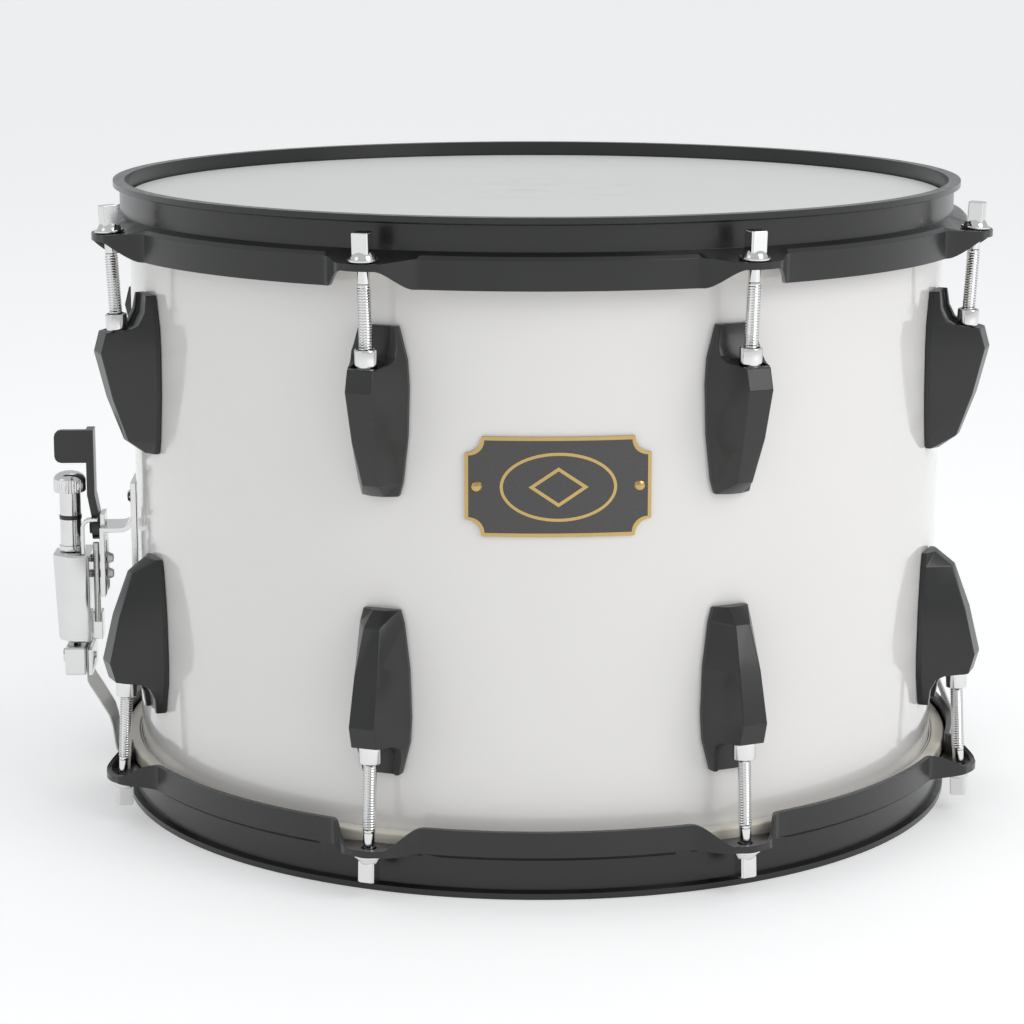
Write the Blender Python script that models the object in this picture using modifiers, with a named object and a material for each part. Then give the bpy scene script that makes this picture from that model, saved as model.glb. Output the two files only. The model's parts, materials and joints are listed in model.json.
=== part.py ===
"""Side snare drum, 14 by 10 inch: a wrapped plywood shell, two heads, pressed steel hoops with eight
tension rods each, sixteen wedge lugs, a throw-off strainer, a butt plate and a set of snare wires.

The drum stands on its snare hoop. The origin is on the drum's axis in the standing plane, +Z is up,
the badge faces -Y and the strainer is at -X. Each end of the drum (lip, head, rods, lugs) is built
once in an end frame, whose z = 0 is the hoop's lip and whose drum lies towards -z.
"""

import math
from dataclasses import dataclass

import bmesh
import bpy
from mathutils import Matrix, Vector

# Clearances
SEAT_GAP = 0.0003
RUNNING_GAP = 0.0004
THROUGH = 0.01

# Shell and wrap
SHELL_RADIUS = 0.1765
SHELL_DEPTH = 0.254
WOOD_WALL = 0.0063
WRAP_SHEET = 0.0005
WRAP_MARGIN = 0.0045
EDGE_ROUND = 0.0016
EDGE_BEVEL = 0.0045
SNARE_BED_DEPTH = 0.0008
SNARE_BED_WIDTH = 0.064
RIM_STAND = 0.007
ROUND_STEPS = 48

# Heads and flesh hoops
FILM = 0.0004
BATTER_COLLAR = 0.0095
SNARE_COLLAR = 0.0118
FLESH_WIDTH = 0.0056
FLESH_HEIGHT = 0.0055

# Pressed hoops
HOOP_SHEET = 0.0022
BATTER_HOOP_HEIGHT = 0.0273
SNARE_HOOP_HEIGHT = 0.0284
LIP_REACH = 0.0028
LIP_THICKNESS = 0.0024
SKIRT_GAP = 0.0009
EAR_TIP_HALF = 0.0065
EAR_TIP_SHARE = 0.9
EAR_ROOT_HALF = 0.021
EAR_REACH = 0.0071
ARCH_HALF = 0.0185
ARCH_LINTEL = 0.0006
EARS = 8
EAR_HOLE_PLAY = 0.0007
HOOP_SPANS = 4
FIRST_EAR = math.radians(-67.5)
GATE_WIDTH = 0.034
GATE_LOW = 0.0036

# Lugs
LUG_HEIGHT = 0.0665
BATTER_LUG_FROM_LIP = 0.0425
SNARE_LUG_FROM_LIP = 0.0475
LUG_MOUTH = 0.0135
LUG_DEPTH = 0.0235
LUG_HALF_BASE = 0.0119
LUG_HALF_FACE = 0.0053
LUG_FOOT = 0.0022
HORN = 0.0045
RECESS_RIM = 0.0022
RECESS_DEPTH = 0.0014
ROD_FROM_SHELL = 0.0148
ROD_LEAN = math.radians(3.0)
NUT_RADIUS = 0.0043
NUT_STAND = 0.006
BORE_DEPTH = 0.027
LUG_SCREW_RADIUS = 0.0025
LUG_SCREW_HEAD = 0.0046
LUG_SCREW_HEAD_HEIGHT = 0.0034

# Tension rods
ROD_THREAD_RADIUS = 0.0028
ROD_NECK_RADIUS = 0.0024
ROD_NECK = 0.0085
ROD_LENGTH = 0.0575
ROD_HEAD_WIDTH = 0.0067
ROD_HEAD_TOP = 0.0112
ROD_FLANGE = 0.005
ROD_FLANGE_TOP = 0.0035
WASHER_RADIUS = 0.0061
WASHER = 0.001

# Badge and air vent
BADGE_WIDTH = 0.072
BADGE_HEIGHT = 0.039
BADGE_CENTRE = 0.1642
BADGE_SCOOP = 0.0065
BADGE_SHEET = 0.0009
BADGE_PIN = 0.0023
BADGE_PIN_INSET = 0.0045
VENT_HEIGHT = 0.134
VENT_BORE = 0.0048
VENT_TUBE = 0.0062
VENT_FLANGE = 0.009
VENT_FLANGE_SHEET = 0.0012

# Strainer: radial distances from the drum's axis, and heights over the floor
BRACKET_SHEET = 0.002
BRACKET_WIDTH = 0.024
BRACKET_TOP = 0.1345
BRACKET_FOOT = 0.066
BRACKET_SCREW_HIGH = 0.1265
BRACKET_SCREW_LOW = 0.0725
BRACKET_SCREW = 0.0019
BRACKET_SCREW_HEAD = 0.0038
WALL_NUT = 0.0025
WALL_SCREW_CROWN = 0.0024
SHELF_HEIGHT = 0.114
SHELF_WIDTH = 0.020
FLANGE_RADIUS = 0.193
FLANGE_FOOT = 0.083
FLANGE_TOP = 0.1195
GUIDE_SLOT_HALF = 0.0019
GUIDE_HIGH = 0.1042
GUIDE_LOW = 0.0915
GUIDE_HEAD = 0.003
THROW = 0.0075
LEVER_PIVOT = 0.113
LEVER_SHEET = 0.0034
LEVER_WIDTH = 0.010
LEVER_EYE = 0.0059
LEVER_OFFSET = 0.0018
LEVER_BEND_LOW = 0.118
LEVER_BEND_HIGH = 0.128
LEVER_TOP = 0.157
TAB_FOOT = 0.1424
TAB_REACH = 0.0155
TAB_SHEET = 0.003
PIVOT_PIN = 0.0022
PIVOT_HEAD = 0.0034
PIVOT_HEAD_HEIGHT = 0.0013
HOUSING_INNER = 0.1978
HOUSING_SIDE = 0.0082
HOUSING_OUTER = 0.2143
HOUSING_TAPER = 0.0018
HOUSING_HALF = 0.0125
HOUSING_NOSE_HALF = 0.0055
HOUSING_TOP = 0.102
HOUSING_FOOT = 0.0625
KNOB_RADIAL = 0.2065
KNOB_CAP = 0.0071
KNOB_CAP_HEIGHT = 0.0092
KNOB_SHAFT = 0.0047
KNOB_TOP = 0.138
KNOB_COLLAR = 0.0053
KNOB_COLLAR_HEIGHT = 0.0025
KNOB_SCREW = 0.0015
KNOB_SCREW_FOOT = 0.068
STEM_RADIUS = 0.003
STEM_TOP = 0.078
STEM_TRAVEL = 0.004
CLAMP_TRAVEL = 0.0016
LINK_ROD = 0.0015
LINK_RADIAL = 0.1952
LINK_TOP = 0.1065
FORK_TOP = 0.0745
FORK_HALF = 0.0045
HOOK_SHEET = 0.0016
HOOK_INNER_EDGE = 0.0068
HOOK_OUTER_EDGE = 0.0105
HOOK_TOP = 0.1185
CLAMP_TOP = 0.0605
CLAMP_FOOT = 0.048
CLAMP_HALF = 0.0132
CLAMP_BLOCK = 0.0092
CLAMP_BAR = 0.0016
CLAMP_SCREW = 0.0016
CLAMP_SCREW_HEAD = 0.003
CLAMP_SCREW_HEAD_HEIGHT = 0.0016

# Straps, snare wires and butt plate
STRAP = 0.0006
STRAP_WIDTH = 0.024
STRAP_RADIAL = 0.1997
STRAND_RADIUS = 0.0009
STRAND_PITCH = 0.002
STRANDS = 20
WIRE_HALF_LENGTH = 0.150
END_PLATE_LENGTH = 0.013
END_PLATE = 0.0012
BUTT_TOP = 0.083
BUTT_FOOT = 0.052
BUTT_WIDTH = 0.036
BUTT_SHEET = 0.002
BUTT_BAR = 0.0028
BUTT_BAR_TOP = 0.071
BUTT_BAR_FOOT = 0.058
BUTT_SCREW = 0.0018
BUTT_SCREW_HEAD = 0.0034
BUTT_STRAP_RADIAL = 0.1795

# Places worked out from the sizes above
DRUM_HEIGHT = SHELL_DEPTH + 2 * RIM_STAND
SHELL_BOTTOM = RIM_STAND
SHELL_TOP = RIM_STAND + SHELL_DEPTH
WOOD_OUTER = SHELL_RADIUS - WRAP_SHEET - SEAT_GAP
WOOD_INNER = WOOD_OUTER - WOOD_WALL
ON_SHELL = SHELL_RADIUS + SEAT_GAP
FILM_INNER = SHELL_RADIUS + SEAT_GAP
FILM_OUTER = FILM_INNER + FILM
FLESH_INNER = FILM_OUTER + SEAT_GAP
FLESH_OUTER = FLESH_INNER + FLESH_WIDTH
WALL_INNER = FLESH_INNER + HOOP_SHEET / 4
WALL_OUTER = WALL_INNER + HOOP_SHEET
SKIRT_INNER = FLESH_OUTER + SKIRT_GAP
SKIRT_OUTER = SKIRT_INNER + HOOP_SHEET
MOUTH_RADIUS = SHELL_RADIUS + ROD_FROM_SHELL
FILM_FACE = RIM_STAND - SEAT_GAP - FILM
WIRE_LEVEL = FILM_FACE - SEAT_GAP - STRAND_RADIUS
STRAP_LEVEL = WIRE_LEVEL - END_PLATE / 2 - SEAT_GAP - STRAP / 2


def clear_scene():
    for old in list(bpy.data.objects):
        bpy.data.objects.remove(old, do_unlink=True)
    for old in list(bpy.data.collections):
        bpy.data.collections.remove(old)


def new_collection(name):
    made = bpy.data.collections.new(name)
    bpy.context.scene.collection.children.link(made)
    return made


def new_material(name, colour, roughness, metallic):
    made = bpy.data.materials.new(name)
    made.use_nodes = True
    shader = made.node_tree.nodes["Principled BSDF"]
    shader.inputs["Base Color"].default_value = (*colour, 1.0)
    shader.inputs["Roughness"].default_value = roughness
    shader.inputs["Metallic"].default_value = metallic
    return made


clear_scene()
DRUM = new_collection("snare_drum")
CUTTERS = new_collection("cutters")

WRAP_WHITE = new_material("white_wrap", (0.86, 0.85, 0.84), 0.12, 0.0)
PLYWOOD = new_material("plywood", (0.62, 0.45, 0.28), 0.55, 0.0)
FILM_WHITE = new_material("head_film", (0.84, 0.84, 0.83), 0.4, 0.0)
FLESH_PAINT = new_material("flesh_hoop", (0.8, 0.77, 0.7), 0.4, 0.0)
BLACK_STEEL = new_material("black_hoop", (0.022, 0.022, 0.024), 0.32, 0.1)
BLACK_CAST = new_material("black_lug", (0.03, 0.03, 0.033), 0.4, 0.0)
CHROME = new_material("chrome", (0.78, 0.78, 0.78), 0.08, 1.0)
BADGE_BRASS = new_material("badge_brass", (0.62, 0.46, 0.2), 0.25, 1.0)
STRAP_PLASTIC = new_material("strap_film", (0.82, 0.82, 0.8), 0.35, 0.0)
WIRE_STEEL = new_material("snare_wire", (0.6, 0.6, 0.6), 0.3, 1.0)


def link(name, mesh, material, parent=None, place=None, collection=None):
    """Put a mesh in the scene as an object, under its parent, at its own place."""
    made = bpy.data.objects.new(name, mesh)
    (collection or DRUM).objects.link(made)
    if material is not None and not mesh.materials:
        mesh.materials.append(material)
    made.parent = parent
    if place is not None:
        made.matrix_local = place
    return made


def empty(name, place, parent=None):
    made = bpy.data.objects.new(name, None)
    DRUM.objects.link(made)
    made.empty_display_size = 0.02
    made.parent = parent
    made.matrix_local = place
    return made


def mesh_from(name, shape):
    """Turn a bmesh into mesh data, with its normals out and its round faces smooth."""
    bmesh.ops.recalc_face_normals(shape, faces=shape.faces)
    mesh = bpy.data.meshes.new(name)
    shape.to_mesh(mesh)
    shape.free()
    mesh.shade_smooth()
    mesh.set_sharp_from_angle(angle=math.radians(32))
    return mesh


def clear_of(radius, sides):
    """Corner radius of a faceted hole whose flats stay clear of a round of this radius."""
    return (radius + SEAT_GAP) / math.cos(math.pi / sides)


def inside_wall(reach):
    """Where a flat face this far from its axis lies against the faceted inside of the shell."""
    return WOOD_INNER - SEAT_GAP - reach * math.tan(math.pi / ROUND_STEPS)


def box_shape(low, high):
    shape = bmesh.new()
    bmesh.ops.create_cube(shape, size=1.0)
    for vertex in shape.verts:
        vertex.co = Vector(a + (c + 0.5) * (b - a) for a, b, c in zip(low, high, vertex.co))
    return shape


def rod_shape(start, end, radius, sides, end_radius=None):
    """A cylinder or cone from one point to another."""
    start = Vector(start)
    run = Vector(end) - start
    turn = run.to_track_quat("Z", "Y").to_matrix().to_4x4()
    shape = bmesh.new()
    bmesh.ops.create_cone(
        shape,
        cap_ends=True,
        segments=sides,
        radius1=radius,
        radius2=radius if end_radius is None else end_radius,
        depth=run.length,
        matrix=Matrix.Translation(start + run / 2) @ turn,
    )
    return shape


def prism_shape(outline, low, high, across="y"):
    """Extrude an outline of (a, b) points: in x and z across y, or in x and y across z."""
    shape = bmesh.new()

    def point(a, b, level):
        return (a, level, b) if across == "y" else (a, b, level)

    near = [shape.verts.new(point(a, b, low)) for a, b in outline]
    face = shape.faces.new(near)
    made = bmesh.ops.extrude_face_region(shape, geom=[face])
    shift = point(0.0, 0.0, high - low)
    for item in made["geom"]:
        if isinstance(item, bmesh.types.BMVert):
            item.co += Vector(shift)
    return shape


def tool_object(name, shape, parent=None, place=None):
    """A hidden helper that a Boolean takes away from a piece or joins to it."""
    made = link(name, mesh_from(name, shape), None, parent, place, CUTTERS)
    made.hide_render = True
    made.display_type = "WIRE"
    return made


def boolean(target, tool, operation):
    step = target.modifiers.new(tool.name, "BOOLEAN")
    step.operation = operation
    step.solver = "EXACT"
    step.object = tool


def cut(target, name, shape, parent=None, place=None):
    boolean(target, tool_object(name, shape, parent, place), "DIFFERENCE")


def fuse(target, name, shape, parent=None, place=None):
    boolean(target, tool_object(name, shape, parent, place), "UNION")


def bevel(target, width, segments=1, angle=30.0):
    step = target.modifiers.new("edges", "BEVEL")
    step.width = width
    step.segments = segments
    step.limit_method = "ANGLE"
    step.angle_limit = math.radians(angle)


def evaluated_mesh(target, name):
    """The mesh of an object with its modifiers run, for pieces that share it."""
    bpy.context.view_layer.update()
    graph = bpy.context.evaluated_depsgraph_get()
    mesh = bpy.data.meshes.new_from_object(target.evaluated_get(graph), depsgraph=graph)
    mesh.name = name
    tools = [step.object for step in target.modifiers if step.type == "BOOLEAN"]
    for old in [target, *tools]:
        bpy.data.objects.remove(old, do_unlink=True)
    return mesh


def turned(name, profile, material, closed, parent=None, place=None, steps=ROUND_STEPS):
    """Turn a profile of (radius, z) about z. A closed profile makes a ring."""
    shape = bmesh.new()
    points = [shape.verts.new((r, 0.0, z)) for r, z in profile]
    for start, end in zip(points, points[1:]):
        shape.edges.new((start, end))
    if closed:
        shape.edges.new((points[-1], points[0]))
    mesh = bpy.data.meshes.new(name)
    shape.to_mesh(mesh)
    shape.free()
    made = link(name, mesh, material, parent, place)
    screw = made.modifiers.new("turn", "SCREW")
    screw.axis = "Z"
    screw.steps = steps
    screw.render_steps = steps
    screw.use_merge_vertices = True
    screw.merge_threshold = 0.00001
    screw.use_smooth_shade = True
    return made


def smooth_step(t):
    t = min(max(t, 0.0), 1.0)
    return t * t * (3.0 - 2.0 * t)


def mix(a, b, t):
    return a + (b - a) * t


def ear_angle(number):
    return FIRST_EAR + number * math.tau / EARS


@dataclass(frozen=True)
class End:
    """One end of the drum: the frame that it is built in, and the sizes that it has to itself."""

    label: str
    frame: bpy.types.Object
    lug_from_lip: float
    collar: float
    hoop_height: float
    gated: bool

    @property
    def flesh_top(self):
        return -RIM_STAND - self.collar

    @property
    def shoulder(self):
        """Underside of the hoop's shoulder, which presses the flesh hoop."""
        return self.flesh_top + SEAT_GAP

    @property
    def rod_radius(self):
        """Radius of a rod's axis where it crosses the ear's seat."""
        return MOUTH_RADIUS + (self.lug_from_lip + LUG_MOUTH + self.flesh_top) * math.tan(ROD_LEAN)

    def seat_height(self, radius):
        """Height of an ear's top, which is square to its leaning rod."""
        return self.flesh_top + (self.rod_radius - radius) * math.tan(ROD_LEAN)


BATTER = End(
    label="batter",
    frame=empty("batter_end", Matrix.Translation((0, 0, DRUM_HEIGHT))),
    lug_from_lip=BATTER_LUG_FROM_LIP,
    collar=BATTER_COLLAR,
    hoop_height=BATTER_HOOP_HEIGHT,
    gated=False,
)
SNARE = End(
    label="snare",
    frame=empty("snare_end", Matrix.Rotation(math.pi, 4, "X")),
    lug_from_lip=SNARE_LUG_FROM_LIP,
    collar=SNARE_COLLAR,
    hoop_height=SNARE_HOOP_HEIGHT,
    gated=True,
)
STRAINER_SIDE = empty("strainer_side", Matrix.Rotation(math.pi, 4, "Z"))
BUTT_SIDE = empty("butt_side", Matrix.Identity(4))


def make_shell():
    """Plywood tube. Each edge is rounded over outside and bevelled inside, with two snare beds."""
    peak = WOOD_OUTER - EDGE_ROUND
    profile = [
        (peak, SHELL_TOP),
        (WOOD_OUTER, SHELL_TOP - EDGE_ROUND),
        (WOOD_OUTER, SHELL_BOTTOM + EDGE_ROUND),
        (peak, SHELL_BOTTOM),
        (WOOD_INNER, SHELL_BOTTOM + EDGE_BEVEL),
        (WOOD_INNER, SHELL_TOP - EDGE_BEVEL),
    ]
    shell = turned("shell", profile, PLYWOOD, closed=True)
    bed_radius = (SNARE_BED_WIDTH**2 / 4 + SNARE_BED_DEPTH**2) / (2 * SNARE_BED_DEPTH)
    bed_axis = SHELL_BOTTOM + SNARE_BED_DEPTH - bed_radius
    bed = rod_shape((-SHELL_RADIUS, 0, bed_axis), (SHELL_RADIUS, 0, bed_axis), bed_radius, 240)
    cut(shell, "snare_beds", bed)
    return shell


def make_wrap():
    inner = SHELL_RADIUS - WRAP_SHEET
    top = SHELL_TOP - WRAP_MARGIN
    bottom = SHELL_BOTTOM + WRAP_MARGIN
    profile = [(SHELL_RADIUS, top), (SHELL_RADIUS, bottom), (inner, bottom), (inner, top)]
    return turned("shell_wrap", profile, WRAP_WHITE, closed=True)


def make_head(end):
    """Film drawn over the bearing edge, with its collar down to the flesh hoop."""
    face = -RIM_STAND + SEAT_GAP + FILM
    under = -RIM_STAND + SEAT_GAP
    collar = end.flesh_top - FLESH_HEIGHT + FILM
    turn = EDGE_ROUND
    profile = [
        (0.0, face),
        (FILM_OUTER - turn, face),
        (FILM_OUTER, face - turn),
        (FILM_OUTER, collar),
        (FILM_INNER, collar),
        (FILM_INNER, under - turn),
        (FILM_INNER - turn, under),
        (0.0, under),
    ]
    return turned(f"{end.label}_head", profile, FILM_WHITE, closed=False, parent=end.frame)


def make_flesh_hoop(end):
    profile = [
        (FLESH_INNER, end.flesh_top),
        (FLESH_OUTER, end.flesh_top),
        (FLESH_OUTER, end.flesh_top - FLESH_HEIGHT),
        (FLESH_INNER, end.flesh_top - FLESH_HEIGHT),
    ]
    return turned(f"{end.label}_flesh_hoop", profile, FLESH_PAINT, closed=True, parent=end.frame)


def ear_share(distance):
    """How far the skirt has swelled out into an ear, from 0 on the round to 1 at the tip."""
    if distance <= EAR_TIP_HALF:
        return 1.0 - (1.0 - EAR_TIP_SHARE) * (distance / EAR_TIP_HALF) ** 2
    run = EAR_ROOT_HALF - EAR_TIP_HALF
    return EAR_TIP_SHARE * (1.0 - smooth_step((distance - EAR_TIP_HALF) / run))


def skirt_foot(end, distance):
    """Height of the skirt's lower edge, which arches up under each ear."""
    tip = end.rod_radius + EAR_REACH - HOOP_SHEET
    lintel = end.seat_height(tip) - HOOP_SHEET - ARCH_LINTEL
    rise = smooth_step((distance - EAR_TIP_HALF) / (ARCH_HALF - EAR_TIP_HALF))
    return mix(lintel, -end.hoop_height, rise)


def hoop_section(end, distance):
    """The pressed sheet's section: lip, wall, shoulder and skirt, at a distance from an ear."""
    share = ear_share(distance)
    level = min(1.0, share / EAR_TIP_SHARE)
    corner = HOOP_SHEET / 3
    skirt = mix(SKIRT_OUTER, end.rod_radius + EAR_REACH, share)
    inside = skirt - HOOP_SHEET
    root = mix(SKIRT_OUTER - 2 * corner, SKIRT_OUTER, level)
    fold = mix(SKIRT_INNER, SKIRT_INNER + corner, level)
    foot = skirt_foot(end, distance)
    top = end.shoulder + HOOP_SHEET
    return [
        (WALL_INNER, 0.0),
        (WALL_OUTER + LIP_REACH, 0.0),
        (WALL_OUTER + LIP_REACH, -LIP_THICKNESS),
        (WALL_OUTER, -LIP_THICKNESS - corner),
        (WALL_OUTER, top + corner),
        (root, mix(top - corner / 2, end.seat_height(root), level)),
        (skirt, mix(top - 2.5 * corner, end.seat_height(skirt), level)),
        (skirt, foot),
        (inside, foot),
        (inside, mix(end.shoulder - 2 * corner, end.seat_height(inside) - HOOP_SHEET, level)),
        (fold, mix(end.shoulder - corner, end.seat_height(fold) - HOOP_SHEET, level)),
        (SKIRT_INNER - corner, end.shoulder),
        (WALL_INNER, end.shoulder),
    ]


def hoop_stations():
    """(angle, distance from the nearest ear) of each section round the hoop, in order."""
    run = EAR_ROOT_HALF - EAR_TIP_HALF
    near = [0.0, EAR_TIP_HALF] + [EAR_TIP_HALF + run * k / 3 for k in range(1, 4)]
    ear_turn = EAR_ROOT_HALF / MOUTH_RADIUS
    gap = math.tau / EARS - 2 * ear_turn
    stations = []
    for number in range(EARS):
        middle = ear_angle(number)
        stations += [(middle - d / MOUTH_RADIUS, d) for d in reversed(near[1:])]
        stations += [(middle + d / MOUTH_RADIUS, d) for d in near]
        start = middle + ear_turn
        stations += [(start + gap * k / HOOP_SPANS, EAR_ROOT_HALF) for k in range(1, HOOP_SPANS)]
    return stations


def make_hoop(end):
    """Loft the pressed sheet round the drum, pierce an ear for each rod and cut the snare gates."""
    shape = bmesh.new()
    rings = []
    for angle, distance in hoop_stations():
        out = Vector((math.cos(angle), math.sin(angle), 0.0))
        section = hoop_section(end, distance)
        rings.append([shape.verts.new(out * r + Vector((0, 0, z))) for r, z in section])
    for here, there in zip(rings, rings[1:] + rings[:1]):
        count = len(here)
        for k in range(count):
            n = (k + 1) % count
            shape.faces.new((here[k], here[n], there[n], there[k]))
    name = f"{end.label}_hoop"
    hoop = link(name, mesh_from(name, shape), BLACK_STEEL, end.frame)
    step = Matrix.Rotation(math.pi / 8, 4, "Z")
    for number in range(EARS):
        reach = 3 * HOOP_SHEET
        hole = rod_shape((0, 0, -reach), (0, 0, reach), ROD_NECK_RADIUS + EAR_HOLE_PLAY, 8)
        cut(hoop, f"{name}_hole_{number + 1}", hole, end.frame, rod_place(end, number) @ step)
    if end.gated:
        reach = SKIRT_OUTER + SEAT_GAP
        low = (-reach, -GATE_WIDTH / 2, end.shoulder + HOOP_SHEET * 4 / 3)
        high = (reach, GATE_WIDTH / 2, -GATE_LOW)
        cut(hoop, f"{name}_gates", box_shape(low, high), end.frame)
    return hoop


def rod_place(end, number):
    """Frame on the rod's axis at the ear's seat, leaning outwards, in an end frame."""
    angle = ear_angle(number)
    out = Vector((math.cos(angle), math.sin(angle), 0.0)) * end.rod_radius
    turn = Matrix.Rotation(angle, 4, "Z") @ Matrix.Rotation(ROD_LEAN, 4, "Y")
    return Matrix.Translation(out + Vector((0, 0, end.flesh_top))) @ turn


def rod_mesh():
    """Key rod: square head on a flange, washer, plain neck and threaded shank."""
    profile = [
        (0.0, ROD_FLANGE_TOP),
        (ROD_HEAD_WIDTH / 2, ROD_FLANGE_TOP),
        (ROD_FLANGE, SEAT_GAP + WASHER),
        (WASHER_RADIUS, SEAT_GAP + WASHER),
        (WASHER_RADIUS, SEAT_GAP),
        (ROD_NECK_RADIUS, SEAT_GAP),
        (ROD_NECK_RADIUS, -ROD_NECK),
        (ROD_THREAD_RADIUS, -ROD_NECK),
        (ROD_THREAD_RADIUS, -ROD_LENGTH),
        (0.0, -ROD_LENGTH),
    ]
    rod = turned("rod_pattern", profile, CHROME, closed=False, steps=6)
    half = ROD_HEAD_WIDTH / 2
    head = box_shape((-half, -half, ROD_FLANGE_TOP / 2), (half, half, ROD_HEAD_TOP))
    crown = [edge for edge in head.edges if all(v.co.z > ROD_FLANGE_TOP for v in edge.verts)]
    bmesh.ops.bevel(head, geom=crown, offset=half / 3, segments=1, affect="EDGES")
    fuse(rod, "rod_head", head)
    return evaluated_mesh(rod, "tension_rod")


def make_rods(end, mesh):
    """One object a rod, each with its origin on its own axis."""
    for number in range(EARS):
        name = f"{end.label}_rod_{count_from_front_right(end, number)}"
        link(name, mesh, CHROME, end.frame, rod_place(end, number))


def count_from_front_right(end, number):
    """Rods and lugs are counted from the front right, anticlockwise from above, at both ends."""
    return (EARS // 2 - 1 - number) % EARS + 1 if end.gated else number + 1


def lug_sections():
    """(depth below the lug's top, half base, half face, depth from the shell) down the lug."""
    return [
        (0.0, 0.66 * LUG_HALF_BASE, 0.94 * LUG_HALF_FACE, 0.83 * LUG_DEPTH),
        (0.2 * LUG_HEIGHT, 0.95 * LUG_HALF_BASE, LUG_HALF_FACE, 0.88 * LUG_DEPTH),
        (0.35 * LUG_HEIGHT, LUG_HALF_BASE, LUG_HALF_FACE, LUG_DEPTH),
        (0.64 * LUG_HEIGHT, 0.95 * LUG_HALF_BASE, 0.9 * LUG_HALF_FACE, 0.8 * LUG_DEPTH),
        (0.915 * LUG_HEIGHT, 0.77 * LUG_HALF_BASE, 0.62 * LUG_HALF_FACE, 0.52 * LUG_DEPTH),
        (LUG_HEIGHT, 0.64 * LUG_HALF_BASE, 0.5 * LUG_HALF_FACE, 0.2 * LUG_DEPTH),
    ]


def lug_mesh():
    """Cast wedge lug: a faceted body lofted down its height, with a scooped mouth, a swivel nut
    standing in it and the screw that holds it through the shell. Its z = 0 is its top."""
    shape = bmesh.new()
    rings = []
    for drop, half_base, half_face, depth in lug_sections():
        foot = math.sqrt(ON_SHELL**2 - half_base**2)
        front = SHELL_RADIUS + depth
        side = min(foot + LUG_FOOT, front - LUG_FOOT / 2)
        section = [
            (ON_SHELL, 0.0),
            (foot, half_base),
            (side, half_base),
            (front, half_face),
            (front, -half_face),
            (side, -half_base),
            (foot, -half_base),
        ]
        rings.append([shape.verts.new((x, y, -drop)) for x, y in section])
    for here, there in zip(rings, rings[1:]):
        count = len(here)
        for k in range(count):
            n = (k + 1) % count
            shape.faces.new((here[k], here[n], there[n], there[k]))
    shape.faces.new(rings[0])
    shape.faces.new(rings[-1])
    lug = link("lug_pattern", mesh_from("lug_pattern", shape), BLACK_CAST)

    top = LUG_HEIGHT / 20
    wide = 2 * LUG_HALF_BASE
    scoop = mouth_outline(HORN, LUG_MOUTH, top)
    cut(lug, "lug_scoop", prism_shape(scoop, -wide, wide))
    inner = mouth_outline(HORN - RECESS_DEPTH, LUG_MOUTH + RECESS_DEPTH, top)
    inner_half = LUG_HALF_BASE * 0.66 - RECESS_RIM
    rim = SHELL_RADIUS + LUG_DEPTH * 0.88 - RECESS_RIM
    inner = [(min(x, rim), z) for x, z in inner]
    cut(lug, "lug_recess", prism_shape(inner, -inner_half, inner_half))

    lean = math.tan(ROD_LEAN)
    mouth = Vector((MOUTH_RADIUS, 0, -LUG_MOUTH))
    axis = Vector((lean, 0, 1.0)).normalized()
    fuse(lug, "lug_nut", rod_shape(mouth - axis * NUT_STAND, mouth + axis * NUT_STAND, NUT_RADIUS, 8))
    bore = (ROD_THREAD_RADIUS + RUNNING_GAP) / math.cos(math.pi / 8)
    cut(lug, "lug_bore", rod_shape(mouth - axis * BORE_DEPTH, mouth + axis * 2 * NUT_STAND, bore, 8))

    middle = -LUG_HEIGHT / 2
    inside = WOOD_INNER - SEAT_GAP
    screw = rod_shape((inside, 0, middle), (ON_SHELL + LUG_FOOT, 0, middle), LUG_SCREW_RADIUS, 5)
    fuse(lug, "lug_screw", screw)
    head = rod_shape((inside - LUG_SCREW_HEAD_HEIGHT, 0, middle), (inside, 0, middle), LUG_SCREW_HEAD, 6)
    fuse(lug, "lug_screw_head", head)
    return evaluated_mesh(lug, "wedge_lug")


def mouth_outline(horn, mouth, top):
    """Side view of the space over the mouth: down the horn's hollow front, then out to the face."""
    horn_x = SHELL_RADIUS + horn
    floor_x = SHELL_RADIUS + horn + mouth * 0.5
    outside = SHELL_RADIUS + 1.5 * LUG_DEPTH
    fall = 0.0016
    outline = [(horn_x, top)]
    for k in range(4):
        turn = math.pi / 2 * k / 3
        outline.append((floor_x - (floor_x - horn_x) * math.cos(turn), -mouth * math.sin(turn)))
    outline.append((outside, -mouth - fall * 2))
    outline.append((outside, top))
    return outline


def make_lugs(end, mesh):
    for number in range(EARS):
        place = Matrix.Translation((0, 0, -end.lug_from_lip)) @ Matrix.Rotation(ear_angle(number), 4, "Z")
        name = f"{end.label}_lug_{count_from_front_right(end, number)}"
        link(name, mesh, BLACK_CAST, end.frame, place)


def drill_lug_holes(target, end):
    """Screw holes through the wall, one behind each lug."""
    shape = bmesh.new()
    low = Vector((0, 0, -end.lug_from_lip - LUG_HEIGHT / 2))
    for number in range(EARS):
        out = Vector((math.cos(ear_angle(number)), math.sin(ear_angle(number)), 0.0))
        start = low + out * (WOOD_INNER - THROUGH)
        hole = rod_shape(start, low + out * (SHELL_RADIUS + THROUGH), clear_of(LUG_SCREW_RADIUS, 6), 6)
        mesh = bpy.data.meshes.new("hole")
        hole.to_mesh(mesh)
        hole.free()
        shape.from_mesh(mesh)
        bpy.data.meshes.remove(mesh)
    cut(target, f"{target.name}_{end.label}_holes", shape, end.frame)


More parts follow.
